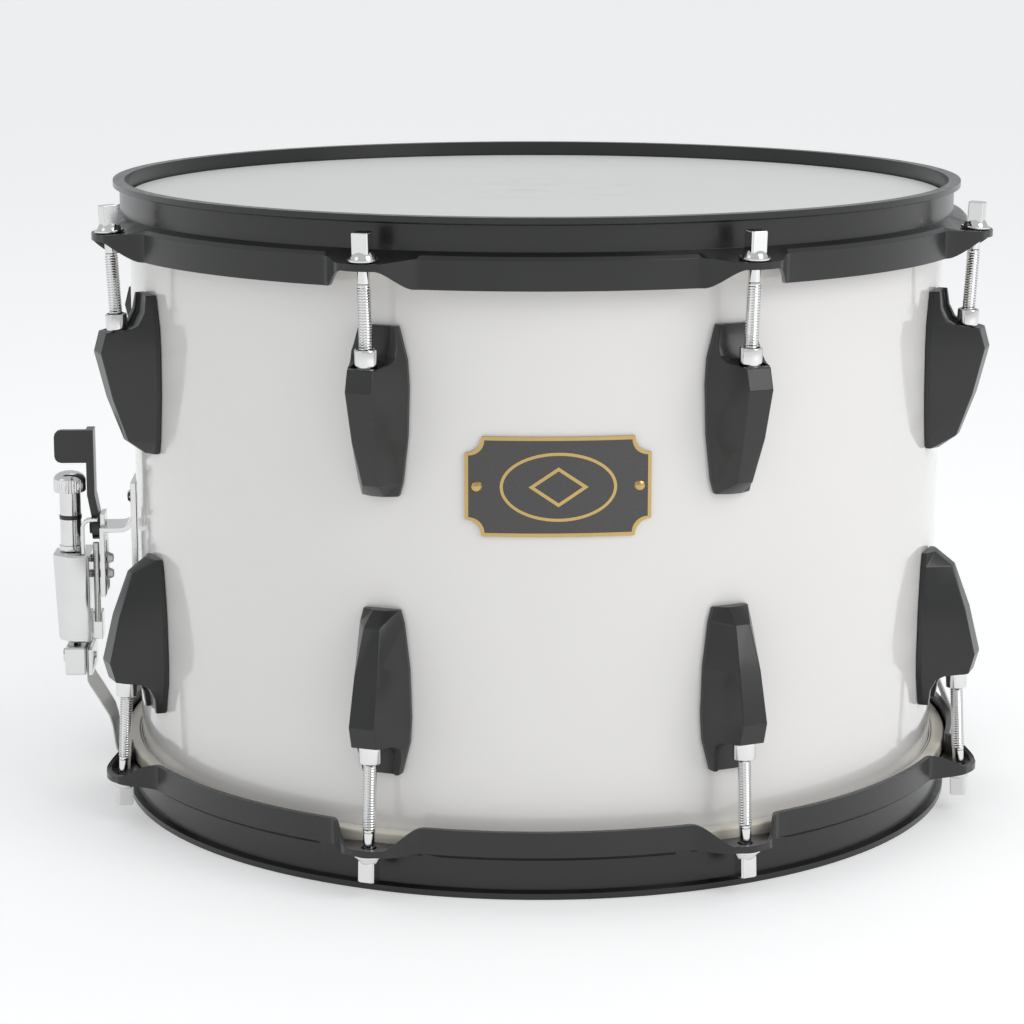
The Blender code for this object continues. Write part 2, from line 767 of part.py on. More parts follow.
def drill(target, label, side, heights, radius):
    """Radial holes through the wall on the strainer's or the butt's side."""
    for number, height in enumerate(heights):
        start = (WOOD_INNER - THROUGH, 0, height)
        end = (SHELL_RADIUS + THROUGH, 0, height)
        cut(target, f"{target.name}_{label}_{number + 1}", rod_shape(start, end, clear_of(radius, 6), 6), side)


def badge_half_height(along):
    """Half the plaque's height at a distance from its middle. Its corners are scooped out."""
    into = max(0.0, abs(along) - (BADGE_WIDTH / 2 - BADGE_SCOOP))
    scoop = BADGE_SCOOP - math.sqrt(max(0.0, BADGE_SCOOP**2 - (BADGE_SCOOP - into) ** 2))
    return BADGE_HEIGHT / 2 - (BADGE_SCOOP - scoop if into > 0 else 0.0)


def make_badge():
    """Plaque bent round the shell, with two dome-headed pins."""
    shape = bmesh.new()
    half = BADGE_WIDTH / 2
    flat = half - BADGE_SCOOP
    stops = [flat * k / 5 for k in range(-5, 6)]
    corner = [flat + BADGE_SCOOP * (1 - math.cos(math.pi / 2 * k / 4)) for k in range(1, 5)]
    stops = [-s for s in reversed(corner)] + stops + corner
    columns = []
    for along in stops:
        turn = along / ON_SHELL
        tall = badge_half_height(along)
        x, y = ON_SHELL * math.sin(turn), -ON_SHELL * math.cos(turn)
        columns.append([shape.verts.new((x, y, BADGE_CENTRE + t)) for t in (-tall, tall)])
    for here, there in zip(columns, columns[1:]):
        shape.faces.new((here[0], there[0], there[1], here[1]))
    badge = link("badge", mesh_from("badge", shape), BADGE_BRASS)
    sheet = badge.modifiers.new("sheet", "SOLIDIFY")
    sheet.thickness = BADGE_SHEET
    sheet.offset = 1.0
    for side, label in ((-1, "left"), (1, "right")):
        turn = side * (half - BADGE_PIN_INSET) / ON_SHELL
        out = Vector((math.sin(turn), -math.cos(turn), 0.0))
        low = out * (ON_SHELL + BADGE_SHEET / 2) + Vector((0, 0, BADGE_CENTRE))
        pin = rod_shape(low, low + out * BADGE_SHEET * 1.5, BADGE_PIN, 10, BADGE_PIN * 0.6)
        fuse(badge, f"badge_pin_{label}", pin)
    return badge


def make_vent(shell, wrap):
    """Air vent at the back: an eyelet through the wall, turned over inside and out."""
    side = empty("vent_side", Matrix.Translation((0, 0, VENT_HEIGHT)) @ Matrix.Rotation(math.pi / 2, 4, "Z"))
    along = Matrix.Rotation(math.pi / 2, 4, "Y")
    outer = ON_SHELL + VENT_FLANGE_SHEET
    inner = inside_wall(VENT_FLANGE) - VENT_FLANGE_SHEET
    profile = [
        (VENT_BORE, outer),
        (VENT_FLANGE, outer - VENT_FLANGE_SHEET / 2),
        (VENT_FLANGE, ON_SHELL),
        (VENT_TUBE, ON_SHELL),
        (VENT_TUBE, inner + VENT_FLANGE_SHEET),
        (VENT_FLANGE, inner + VENT_FLANGE_SHEET),
        (VENT_FLANGE, inner),
        (VENT_BORE, inner),
    ]
    turned("vent_grommet", profile, CHROME, closed=True, parent=side, place=along, steps=16)
    for target in (shell, wrap):
        hole = rod_shape((WOOD_INNER - THROUGH, 0, 0), (SHELL_RADIUS + THROUGH, 0, 0), VENT_TUBE + SEAT_GAP, 16)
        cut(target, f"{target.name}_vent_hole", hole, side)


def sheet_outline(path, thickness):
    """Outline of bent sheet from the points along its middle, in x and z."""
    points = [Vector((x, z)) for x, z in path]
    left, right = [], []
    for k, point in enumerate(points):
        before = (point - points[k - 1]).normalized() if k > 0 else None
        after = (points[k + 1] - point).normalized() if k + 1 < len(points) else None
        along = (before + after).normalized() if before and after else (before or after)
        stretch = 1.0 if not (before and after) else 1.0 / max(0.35, along.dot(after))
        side = Vector((-along.y, along.x)) * thickness / 2 * stretch
        left.append(tuple(point + side))
        right.append(tuple(point - side))
    return left + right[::-1]


def arc_points(centre, radius, start, end, count):
    """Points round an arc, angles in degrees from +x."""
    angles = [math.radians(mix(start, end, k / count)) for k in range(count + 1)]
    return [(centre[0] + radius * math.cos(a), centre[1] + radius * math.sin(a)) for a in angles]


def make_bracket():
    """Strainer bracket: back plate on the shell, an arm sweeping out to a shelf, and the guide
    flange that hangs from the shelf's outer end, with its slot and the lever's pivot hole."""
    half = BRACKET_WIDTH / 2
    back = math.sqrt(ON_SHELL**2 - half**2)
    outer = ON_SHELL + BRACKET_SHEET
    plan = [(back, -half), (ON_SHELL, 0), (back, half), (outer, half), (outer, -half)]
    shape = prism_shape(plan, BRACKET_FOOT, BRACKET_TOP, across="z")
    bracket = link("strainer_bracket", mesh_from("strainer_bracket", shape), CHROME, STRAINER_SIDE)
    middle = SHELF_HEIGHT - BRACKET_SHEET / 2
    fillet = 0.0065
    start = ON_SHELL + BRACKET_SHEET / 2
    flange = FLANGE_RADIUS - BRACKET_SHEET / 2
    arm = arc_points((start + fillet, middle + fillet), fillet, 180, 270, 5)
    arm_outline = sheet_outline(arm + [(flange, middle)], BRACKET_SHEET)
    fuse(bracket, "bracket_arm", prism_shape(arm_outline, -SHELF_WIDTH / 2, SHELF_WIDTH / 2), STRAINER_SIDE)
    low = (FLANGE_RADIUS - BRACKET_SHEET, -SHELF_WIDTH / 2, FLANGE_FOOT)
    high = (FLANGE_RADIUS, SHELF_WIDTH / 2, SHELF_HEIGHT)
    fuse(bracket, "bracket_flange", box_shape(low, high), STRAINER_SIDE)
    low = (FLANGE_RADIUS - BRACKET_SHEET, -LEVER_EYE, SHELF_HEIGHT - BRACKET_SHEET)
    high = (FLANGE_RADIUS, LEVER_EYE, FLANGE_TOP)
    fuse(bracket, "bracket_ear", box_shape(low, high), STRAINER_SIDE)
    slot_half = GUIDE_SLOT_HALF + SEAT_GAP
    low = (FLANGE_RADIUS - 2 * BRACKET_SHEET, -slot_half, FLANGE_FOOT - BRACKET_SHEET)
    high = (FLANGE_RADIUS + BRACKET_SHEET, slot_half, GUIDE_HIGH + slot_half)
    cut(bracket, "bracket_slot", box_shape(low, high), STRAINER_SIDE)
    start = (FLANGE_RADIUS - BRACKET_SHEET, 0, LEVER_PIVOT)
    end = (FLANGE_RADIUS + BRACKET_SHEET, 0, LEVER_PIVOT)
    cut(bracket, "bracket_pivot_hole", rod_shape(start, end, PIVOT_PIN + SEAT_GAP, 12), STRAINER_SIDE)
    for label, height in (("upper", BRACKET_SCREW_HIGH), ("lower", BRACKET_SCREW_LOW)):
        start = (ON_SHELL - BRACKET_SHEET, 0, height)
        end = (ON_SHELL + 2 * BRACKET_SHEET, 0, height)
        hole = rod_shape(start, end, BRACKET_SCREW + SEAT_GAP, 8)
        cut(bracket, f"bracket_hole_{label}", hole, STRAINER_SIDE)
        make_wall_screw(f"strainer_bracket_screw_{label}", STRAINER_SIDE, height, ON_SHELL + BRACKET_SHEET)


def make_wall_screw(name, side, height, seat):
    """Machine screw through the wall: dome head outside on its seat, and a nut inside."""
    head = seat + SEAT_GAP
    inside = inside_wall(BRACKET_SCREW_HEAD)
    nut = inside - WALL_NUT
    crown = head + WALL_SCREW_CROWN
    profile = [
        (0.0, crown),
        (BRACKET_SCREW_HEAD * 0.6, crown - 0.0005),
        (BRACKET_SCREW_HEAD, head),
        (BRACKET_SCREW, head),
        (BRACKET_SCREW, inside),
        (BRACKET_SCREW_HEAD, inside),
        (BRACKET_SCREW_HEAD, nut),
        (0.0, nut),
    ]
    along = Matrix.Translation((0, 0, height)) @ Matrix.Rotation(math.pi / 2, 4, "Y")
    return turned(name, profile, CHROME, closed=False, parent=side, place=along, steps=8)


def make_lever():
    """Throw-off lever: bent bar with an eye at its foot, a thumb tab bent out at its top and the
    pivot pin riveted in. Its origin is on the pivot."""
    seat = FLANGE_RADIUS + SEAT_GAP
    low_x = seat + LEVER_SHEET / 2
    pivot = Matrix.Translation((low_x, 0, LEVER_PIVOT))
    path = [
        (0.0, -LEVER_EYE * 0.5),
        (0.0, LEVER_BEND_LOW - LEVER_PIVOT),
        (LEVER_OFFSET, LEVER_BEND_HIGH - LEVER_PIVOT),
        (LEVER_OFFSET, LEVER_TOP - LEVER_PIVOT),
    ]
    half = LEVER_WIDTH / 2
    shape = prism_shape(sheet_outline(path, LEVER_SHEET), -half, half)
    lever = link("strainer_lever", mesh_from("strainer_lever", shape), BLACK_STEEL, STRAINER_SIDE, pivot)
    eye = rod_shape((-LEVER_SHEET / 2, 0, 0), (LEVER_SHEET / 2, 0, 0), LEVER_EYE, 16)
    fuse(lever, "lever_eye", eye, STRAINER_SIDE, pivot)
    inner = LEVER_OFFSET - LEVER_SHEET / 2
    tab = tab_outline(inner, inner + LEVER_SHEET + TAB_REACH - LEVER_SHEET / 2)
    fuse(lever, "lever_tab", prism_shape(tab, half - TAB_SHEET, half), STRAINER_SIDE, pivot)
    inside = FLANGE_RADIUS - BRACKET_SHEET + SEAT_GAP - low_x
    outside = LEVER_SHEET / 2 + PIVOT_HEAD_HEIGHT
    pin = rod_shape((inside, 0, 0), (outside, 0, 0), PIVOT_PIN, 12)
    fuse(lever, "lever_pin", pin, STRAINER_SIDE, pivot)
    button = rod_shape((0, 0, 0), (outside, 0, 0), PIVOT_HEAD, 12)
    fuse(lever, "lever_button", button, STRAINER_SIDE, pivot)


def tab_outline(inner, outer):
    """Rounded thumb tab in x and z, about the lever's pivot."""
    low = TAB_FOOT - LEVER_PIVOT
    high = LEVER_TOP - LEVER_PIVOT
    corner = 0.003
    points = [(inner, low)]
    points += arc_points((outer - corner, low + corner), corner, 270, 360, 3)
    points += arc_points((outer - corner, high - corner), corner, 0, 90, 3)
    points += arc_points((inner + corner, high - corner), corner, 90, 180, 3)
    return points


def make_housing():
    """Die-cast strainer housing: a tapered box with a faceted nose, bored for the knob's screw
    and for the clamp's stem. It slides down the guide flange when the lever is thrown."""
    side = HOUSING_INNER + HOUSING_SIDE
    shape = bmesh.new()
    rings = []
    for height, taper in ((HOUSING_TOP, 0.0), (HOUSING_FOOT, HOUSING_TAPER)):
        plan = [
            (HOUSING_INNER, -HOUSING_HALF),
            (HOUSING_INNER, HOUSING_HALF),
            (side, HOUSING_HALF - taper / 3),
            (HOUSING_OUTER - taper, HOUSING_NOSE_HALF),
            (HOUSING_OUTER - taper, -HOUSING_NOSE_HALF),
            (side, -HOUSING_HALF + taper / 3),
        ]
        rings.append([shape.verts.new((x, y, height)) for x, y in plan])
    for k in range(6):
        n = (k + 1) % 6
        shape.faces.new((rings[0][k], rings[0][n], rings[1][n], rings[1][k]))
    shape.faces.new(rings[0])
    shape.faces.new(rings[1])
    housing = link("strainer_housing", mesh_from("strainer_housing", shape), CHROME, STRAINER_SIDE)
    bevel(housing, 0.0008)
    top = (KNOB_RADIAL, 0, HOUSING_TOP + HOUSING_SIDE)
    foot = (KNOB_RADIAL, 0, HOUSING_FOOT - HOUSING_SIDE)
    cut(housing, "housing_screw_bore", rod_shape(foot, top, KNOB_SCREW + SEAT_GAP, 10), STRAINER_SIDE)
    stem_room = (KNOB_RADIAL, 0, STEM_TOP + STEM_TRAVEL)
    cut(housing, "housing_stem_bore", rod_shape(foot, stem_room, STEM_RADIUS + SEAT_GAP, 12), STRAINER_SIDE)
    for label, height in (("upper", GUIDE_HIGH), ("lower", GUIDE_LOW)):
        height = min(height, HOUSING_TOP - 0.0035)
        start = (HOUSING_INNER - 0.001, 0, height)
        end = (HOUSING_INNER + 0.0026, 0, height)
        cut(housing, f"housing_tap_{label}", rod_shape(start, end, GUIDE_SLOT_HALF + SEAT_GAP, 8), STRAINER_SIDE)
        make_guide_screw(label, height)


def make_guide_screw(label, height):
    """Shoulder screw from behind the guide flange, through its slot and into the housing."""
    seat = FLANGE_RADIUS - BRACKET_SHEET - SEAT_GAP
    crown = seat - 0.0026
    tip = HOUSING_INNER + 0.002
    profile = [
        (0.0, tip),
        (GUIDE_SLOT_HALF, tip),
        (GUIDE_SLOT_HALF, seat),
        (GUIDE_HEAD, seat),
        (GUIDE_HEAD * 0.62, crown),
        (0.0, crown),
    ]
    along = Matrix.Translation((0, 0, height)) @ Matrix.Rotation(math.pi / 2, 4, "Y")
    turned(f"strainer_guide_screw_{label}", profile, CHROME, False, STRAINER_SIDE, along, 10)


def make_link():
    """Draw link behind the housing: a fork that carries the housing, the threaded rod up to the
    lever's eye, beside it the hook over the shelf."""
    back = FLANGE_RADIUS + SEAT_GAP
    front = HOUSING_INNER - SEAT_GAP
    shape = box_shape((back, -FORK_HALF, HOUSING_FOOT), (front, FORK_HALF, FORK_TOP))
    fork = link("strainer_link", mesh_from("strainer_link", shape), CHROME, STRAINER_SIDE)
    start = (LINK_RADIAL, GUIDE_HEAD + LINK_ROD, FORK_TOP - 0.004)
    end = (LINK_RADIAL, GUIDE_HEAD + LINK_ROD, LINK_TOP)
    fuse(fork, "link_rod", rod_shape(start, end, LINK_ROD, 10), STRAINER_SIDE)
    return fork


def make_hook():
    """Bent strip on the housing's top that reaches over to the lever's side of the shelf."""
    foot = HOUSING_INNER + HOOK_SHEET + 0.001
    bend = 0.0035
    end = FLANGE_RADIUS + 2 * SEAT_GAP
    top = HOOK_TOP - HOOK_SHEET / 2
    path = [(foot, HOUSING_TOP + SEAT_GAP)]
    path += arc_points((foot - bend, top - bend), bend, 0, 90, 4)
    path += [(end, top)]
    shape = prism_shape(sheet_outline(path, HOOK_SHEET), HOOK_INNER_EDGE, HOOK_OUTER_EDGE)
    return link("strainer_hook", mesh_from("strainer_hook", shape), CHROME, STRAINER_SIDE)


def make_knob():
    """Tension knob: capped shaft on a collar, with its screw down into the clamp's stem."""
    seat = HOUSING_TOP + SEAT_GAP
    foot = Matrix.Translation((KNOB_RADIAL, 0, 0))
    profile = [
        (0.0, KNOB_TOP),
        (KNOB_CAP * 0.86, KNOB_TOP),
        (KNOB_CAP, KNOB_TOP - 0.001),
        (KNOB_CAP, KNOB_TOP - KNOB_CAP_HEIGHT),
        (KNOB_SHAFT, KNOB_TOP - KNOB_CAP_HEIGHT),
        (KNOB_SHAFT, seat + KNOB_COLLAR_HEIGHT),
        (KNOB_COLLAR, seat + KNOB_COLLAR_HEIGHT),
        (KNOB_COLLAR, seat),
        (KNOB_SCREW, seat),
        (KNOB_SCREW, KNOB_SCREW_FOOT),
        (0.0, KNOB_SCREW_FOOT),
    ]
    return turned("strainer_knob", profile, CHROME, False, STRAINER_SIDE, foot, 16)


def make_clamp():
    """Strap clamp under the housing: a block on a stem, and a bar behind the strap with its screw."""
    strap_face = STRAP_RADIAL + STRAP / 2 + SEAT_GAP
    outer = strap_face + CLAMP_BLOCK
    low = (strap_face, -CLAMP_HALF, CLAMP_FOOT)
    shape = box_shape(low, (outer, CLAMP_HALF, CLAMP_TOP))
    block = link("strainer_clamp_block", mesh_from("strainer_clamp_block", shape), CHROME, STRAINER_SIDE)
    bevel(block, 0.0006)
    foot = CLAMP_TOP - 0.002
    stem = rod_shape((KNOB_RADIAL, 0, foot), (KNOB_RADIAL, 0, STEM_TOP), STEM_RADIUS, 12)
    fuse(block, "clamp_stem", stem, STRAINER_SIDE)
    bore = rod_shape((KNOB_RADIAL, 0, KNOB_SCREW_FOOT - 0.003), (KNOB_RADIAL, 0, STEM_TOP + 0.002), KNOB_SCREW + SEAT_GAP, 10)
    cut(block, "clamp_stem_bore", bore, STRAINER_SIDE)

    back = STRAP_RADIAL - STRAP / 2 - SEAT_GAP
    low = (back - CLAMP_BAR, -CLAMP_HALF, CLAMP_FOOT)
    shape = box_shape(low, (back, CLAMP_HALF, CLAMP_TOP - 0.001))
    bar = link("strainer_clamp_bar", mesh_from("strainer_clamp_bar", shape), CHROME, STRAINER_SIDE)

    height = (CLAMP_TOP + CLAMP_FOOT) / 2
    rear = back - CLAMP_BAR
    front = outer + SEAT_GAP
    crown = front + CLAMP_SCREW_HEAD_HEIGHT
    hole = rod_shape((back, 0, height), (crown, 0, height), CLAMP_SCREW + SEAT_GAP, 10)
    cut(block, "clamp_screw_hole", hole, STRAINER_SIDE)
    shank = rod_shape((rear - CLAMP_SCREW_HEAD_HEIGHT / 2, 0, height), (crown, 0, height), CLAMP_SCREW, 10)
    fuse(bar, "clamp_screw_shank", shank, STRAINER_SIDE)
    head = rod_shape((front, 0, height), (crown, 0, height), CLAMP_SCREW_HEAD, 10)
    fuse(bar, "clamp_screw_head", head, STRAINER_SIDE)
    return height


def smooth_path(points, per_span):
    """Points on a smooth curve through the given ones."""
    made = []
    for k in range(len(points) - 1):
        a = Vector(points[max(k - 1, 0)])
        b = Vector(points[k])
        c = Vector(points[k + 1])
        d = Vector(points[min(k + 2, len(points) - 1)])
        for step in range(per_span):
            t = step / per_span
            made.append(b + (c - a) * t / 2 + (2 * a - 5 * b + 4 * c - d) * t * t / 2 + (3 * b - a - 3 * c + d) * t**3 / 2)
    made.append(Vector(points[-1]))
    return [tuple(p) for p in made]


def make_strap(name, side, route, hole_height):
    """Plastic snare strap: from its clamp, in through the hoop's gate and under the wires' end."""
    outline = sheet_outline(smooth_path(route, 2), STRAP)
    half = STRAP_WIDTH / 2
    strap = link(name, mesh_from(name, prism_shape(outline, -half, half)), STRAP_PLASTIC, side)
    reach = route[0][0]
    play = CLAMP_SCREW + 2 * SEAT_GAP
    low = (reach - STRAP_WIDTH / 4, -play, hole_height - play - CLAMP_TRAVEL)
    high = (reach + STRAP_WIDTH / 4, play, hole_height + play + CLAMP_TRAVEL)
    cut(strap, f"{name}_slot", box_shape(low, high), side)
    return strap


def strap_under():
    """The part of a strap's route that both sides share: through the gate to the wires' end."""
    gate = SKIRT_OUTER + 0.0014
    overlap = WIRE_HALF_LENGTH - END_PLATE_LENGTH * 0.7
    return [
        (gate, 0.0135),
        (gate - 0.0035, 0.0092),
        (WALL_OUTER, 0.0064),
        (SHELL_RADIUS - 0.0005, STRAP_LEVEL + 0.0012),
        (SHELL_RADIUS - 0.012, STRAP_LEVEL + 0.0006),
        (WIRE_HALF_LENGTH + 0.004, STRAP_LEVEL),
        (overlap, STRAP_LEVEL),
    ]


def make_wires():
    """Snare wires: strands side by side under the head, held in a plate at each end."""
    half = (STRANDS - 1) * STRAND_PITCH / 2 + STRAND_RADIUS
    inner = WIRE_HALF_LENGTH - END_PLATE_LENGTH
    low = (inner, -half, WIRE_LEVEL - END_PLATE / 2)
    high = (WIRE_HALF_LENGTH, half, WIRE_LEVEL + END_PLATE / 2)
    wires = link("snare_wires", mesh_from("snare_wires", box_shape(low, high)), WIRE_STEEL)
    far_low = (-WIRE_HALF_LENGTH, -half, low[2])
    far_high = (-inner, half, high[2])
    fuse(wires, "far_end_plate", box_shape(far_low, far_high))
    reach = inner + END_PLATE_LENGTH / 3
    for number in range(STRANDS):
        across = (number - (STRANDS - 1) / 2) * STRAND_PITCH
        strand = rod_shape((-reach, across, WIRE_LEVEL), (reach, across, WIRE_LEVEL), STRAND_RADIUS, 4)
        fuse(wires, f"strand_{number + 1}", strand)
    return wires


def make_butt():
    """Butt plate: fixed plate on the shell opposite the strainer, and the bar that traps the strap."""
    half = BUTT_WIDTH / 2
    back = math.sqrt(ON_SHELL**2 - half**2)
    strap_back = BUTT_STRAP_RADIAL - STRAP / 2 - SEAT_GAP
    plan = [(back, -half), (ON_SHELL, 0), (back, half), (strap_back, half), (strap_back, -half)]
    shape = prism_shape(plan, BUTT_FOOT, BUTT_TOP, across="z")
    plate = link("butt_plate", mesh_from("butt_plate", shape), CHROME, BUTT_SIDE)
    bar_in = BUTT_STRAP_RADIAL + STRAP / 2 + SEAT_GAP
    low = (bar_in, -half + 0.002, BUTT_BAR_FOOT)
    shape = box_shape(low, (bar_in + BUTT_BAR, half - 0.002, BUTT_BAR_TOP))
    bar = link("butt_clamp_bar", mesh_from("butt_clamp_bar", shape), CHROME, BUTT_SIDE)
    bevel(bar, 0.0006)
    height = (BUTT_BAR_TOP + BUTT_BAR_FOOT) / 2
    screw_head = bar_in + BUTT_BAR
    hole = rod_shape((ON_SHELL - 0.002, 0, height), (screw_head, 0, height), BRACKET_SCREW + SEAT_GAP, 8)
    cut(plate, "butt_plate_hole", hole, BUTT_SIDE)
    hole = rod_shape((ON_SHELL - 0.002, 0, height), (screw_head + 0.002, 0, height), BRACKET_SCREW + SEAT_GAP, 8)
    cut(bar, "butt_bar_hole", hole, BUTT_SIDE)
    make_wall_screw("butt_screw", BUTT_SIDE, height, screw_head)
    return height


shell = make_shell()
wrap = make_wrap()
rod = rod_mesh()
lug = lug_mesh()
for end in (BATTER, SNARE):
    make_head(end)
    make_flesh_hoop(end)
    make_hoop(end)
    make_rods(end, rod)
    make_lugs(end, lug)
    for target in (shell, wrap):
        drill_lug_holes(target, end)

make_badge()
make_vent(shell, wrap)

make_bracket()
make_lever()
make_housing()
make_link()
make_hook()
make_knob()
clamp_height = make_clamp()
route = [(STRAP_RADIAL, CLAMP_TOP - 0.001), (STRAP_RADIAL, 0.047), (STRAP_RADIAL - 0.0011, 0.043), (0.1905, 0.029)]
make_strap("strainer_strap", STRAINER_SIDE, route + [(0.1886, 0.020)] + strap_under(), clamp_height)
butt_height = make_butt()
route = [(BUTT_STRAP_RADIAL, BUTT_BAR_TOP), (BUTT_STRAP_RADIAL, 0.052), (BUTT_STRAP_RADIAL + 0.002, 0.042), (SKIRT_OUTER + 0.001, 0.0285)]
make_strap("butt_strap", BUTT_SIDE, route + [(SKIRT_OUTER + 0.0016, 0.020)] + strap_under(), butt_height)
make_wires()
for target in (shell, wrap):
    heights = (BRACKET_SCREW_HIGH, BRACKET_SCREW_LOW)
    drill(target, "strainer_hole", STRAINER_SIDE, heights, BRACKET_SCREW)
    drill(target, "butt_hole", BUTT_SIDE, (butt_height,), BRACKET_SCREW)
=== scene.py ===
"""Looks of a 14 by 10 inch side snare drum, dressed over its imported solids: white gloss wrap, black
pressed hoops and cast lugs, chromed key rods, an enamelled badge, a throw-off strainer and coiled
snare wires, standing on a pale studio floor. Sizes are in metres; the drum's axis is +Z.
"""

import json
import math
import random

import bmesh
import bpy
from mathutils import Matrix, Vector


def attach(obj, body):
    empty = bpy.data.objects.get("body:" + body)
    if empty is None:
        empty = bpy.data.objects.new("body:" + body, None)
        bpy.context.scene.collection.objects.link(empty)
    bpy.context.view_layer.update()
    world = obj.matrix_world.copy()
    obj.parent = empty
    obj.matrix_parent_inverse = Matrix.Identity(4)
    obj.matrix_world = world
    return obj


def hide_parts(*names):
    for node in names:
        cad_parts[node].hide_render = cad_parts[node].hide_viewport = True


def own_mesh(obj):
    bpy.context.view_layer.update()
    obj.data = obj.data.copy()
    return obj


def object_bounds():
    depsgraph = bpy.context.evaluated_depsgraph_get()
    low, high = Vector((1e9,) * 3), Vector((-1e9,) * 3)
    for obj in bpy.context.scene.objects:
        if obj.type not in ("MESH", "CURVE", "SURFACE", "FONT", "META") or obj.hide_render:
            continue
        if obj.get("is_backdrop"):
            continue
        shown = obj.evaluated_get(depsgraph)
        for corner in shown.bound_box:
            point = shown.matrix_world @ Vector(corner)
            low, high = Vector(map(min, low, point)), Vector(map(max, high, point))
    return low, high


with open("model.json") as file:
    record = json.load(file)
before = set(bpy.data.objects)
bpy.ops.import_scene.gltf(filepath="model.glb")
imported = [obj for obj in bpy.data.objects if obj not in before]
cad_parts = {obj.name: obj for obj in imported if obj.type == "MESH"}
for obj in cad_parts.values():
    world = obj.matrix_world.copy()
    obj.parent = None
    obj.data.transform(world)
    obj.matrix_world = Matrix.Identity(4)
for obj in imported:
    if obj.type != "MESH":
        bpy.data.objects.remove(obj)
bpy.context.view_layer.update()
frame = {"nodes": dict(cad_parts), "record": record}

# Wrap: a white gloss sheet round the shell, 245 mm tall and 0.5 mm thick, with an overlapped seam at
# the back. It is turned in 256 steps, so that its long reflections run clean.
WRAP_RADIUS = 0.1765
WRAP_FOOT = 0.0115
WRAP_TOP = 0.2565
WRAP_SHEET = 0.0005
WRAP_EASE = 0.00012
WRAP_STEPS = 256
WRAP_MIDDLE = 0.134
# Painted shade: the wrap's colour darkens between these distances from its middle, where it runs in under the
# hoops.
HOOP_SHADE_FROM = 0.112
HOOP_SHADE_TO = 0.1225
SEAM_HALF = 0.012
SEAM_EASE = 0.96


class Wire:
    """A shader output that takes part in sums, products and mixes."""

    def __init__(self, board, socket):
        self.board = board
        self.socket = socket

    def math(self, operation, *others, first=None):
        node = self.board.tree.nodes.new("ShaderNodeMath")
        node.operation = operation
        values = [self, *others] if first is None else [first, self]
        for slot, value in zip(node.inputs, values):
            self.board.feed(slot, value)
        return Wire(self.board, node.outputs[0])

    def __add__(self, other):
        return self.math("ADD", other)

    def __radd__(self, other):
        return self.math("ADD", other)

    def __sub__(self, other):
        return self.math("SUBTRACT", other)

    def __rsub__(self, other):
        return self.math("SUBTRACT", first=other)

    def __mul__(self, other):
        return self.math("MULTIPLY", other)

    def __rmul__(self, other):
        return self.math("MULTIPLY", other)

    def __gt__(self, other):
        return self.math("GREATER_THAN", other)

    def scaled(self, *factors):
        """This vector with each part multiplied by its own factor."""
        node = self.board.tree.nodes.new("ShaderNodeVectorMath")
        node.operation = "MULTIPLY"
        self.board.feed(node.inputs[0], self)
        node.inputs[1].default_value = factors
        return Wire(self.board, node.outputs[0])

    def between(self, low, high):
        """This value of 0 to 1 as a value of low to high."""
        return self * (high - low) + low

    def blend(self, low, high):
        """A colour between low, where this is 0, and high, where this is 1."""
        node = self.board.tree.nodes.new("ShaderNodeMix")
        node.data_type = "RGBA"
        self.board.feed(node.inputs["Factor"], self)
        self.board.feed(node.inputs[6], low)
        self.board.feed(node.inputs[7], high)
        return Wire(self.board, node.outputs[2])


class Board:
    """A material and its node tree. Constants are set on its shader when it is made."""

    def __init__(self, name, **constants):
        self.material = bpy.data.materials.new(name)
        self.material.use_nodes = True
        self.tree = self.material.node_tree
        self.shader = self.tree.nodes["Principled BSDF"]
        for key, value in constants.items():
            self.feed(self.shader.inputs[key.replace("_", " ")], value)

    def feed(self, slot, value):
        if isinstance(value, Wire):
            self.tree.links.new(value.socket, slot)
        elif isinstance(value, (tuple, list)) and len(value) == 3 and slot.type == "RGBA":
            slot.default_value = (*value, 1.0)
        else:
            slot.default_value = value

    def node(self, kind, output=0, inputs=None, **settings):
        made = self.tree.nodes.new("ShaderNode" + kind)
        for key, value in settings.items():
            setattr(made, key, value)
        for key, value in (inputs or {}).items():
            self.feed(made.inputs[key], value)
        return Wire(self, made.outputs[output])

    def place(self):
        return self.node("TexCoord", "Object")

    def part(self, vector, axis):
        return self.node("SeparateXYZ", axis, {0: vector})

    def noise(self, vector, scale, detail=3.0, roughness=0.5):
        inputs = {"Vector": vector, "Scale": scale, "Detail": detail, "Roughness": roughness}
        return self.node("TexNoise", 0, inputs)

    def clamp(self, value, low, high):
        """0 below low, 1 above high and a straight run between."""
        inputs = {"Value": value, "From Min": low, "From Max": high}
        return self.node("MapRange", 0, inputs)

    def bump(self, height, distance, strength=1.0):
        inputs = {"Height": height, "Distance": distance, "Strength": strength}
        self.feed(self.shader.inputs["Normal"], self.node("Bump", 0, inputs))

    def paint(self, **inputs):
        for key, value in inputs.items():
            self.feed(self.shader.inputs[key.replace("_", " ")], value)
        return self.material


def shown(name, mesh, material, body, slot, *nodes):
    """Put a mesh in the scene as a piece that rides on a CAD body and stands for CAD nodes."""
    made = bpy.data.objects.new(name, mesh)
    bpy.context.scene.collection.objects.link(made)
    mesh.materials.clear()
    mesh.materials.append(material)
    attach(made, body)
    if nodes:
        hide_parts(*nodes)
    return made


def smooth(mesh, angle=30.0):
    mesh.shade_smooth()
    mesh.set_sharp_from_angle(angle=math.radians(angle))
    return mesh


def mesh_of(name, shape, angle=30.0):
    bmesh.ops.recalc_face_normals(shape, faces=shape.faces)
    mesh = bpy.data.meshes.new(name)
    shape.to_mesh(mesh)
    shape.free()
    return smooth(mesh, angle)


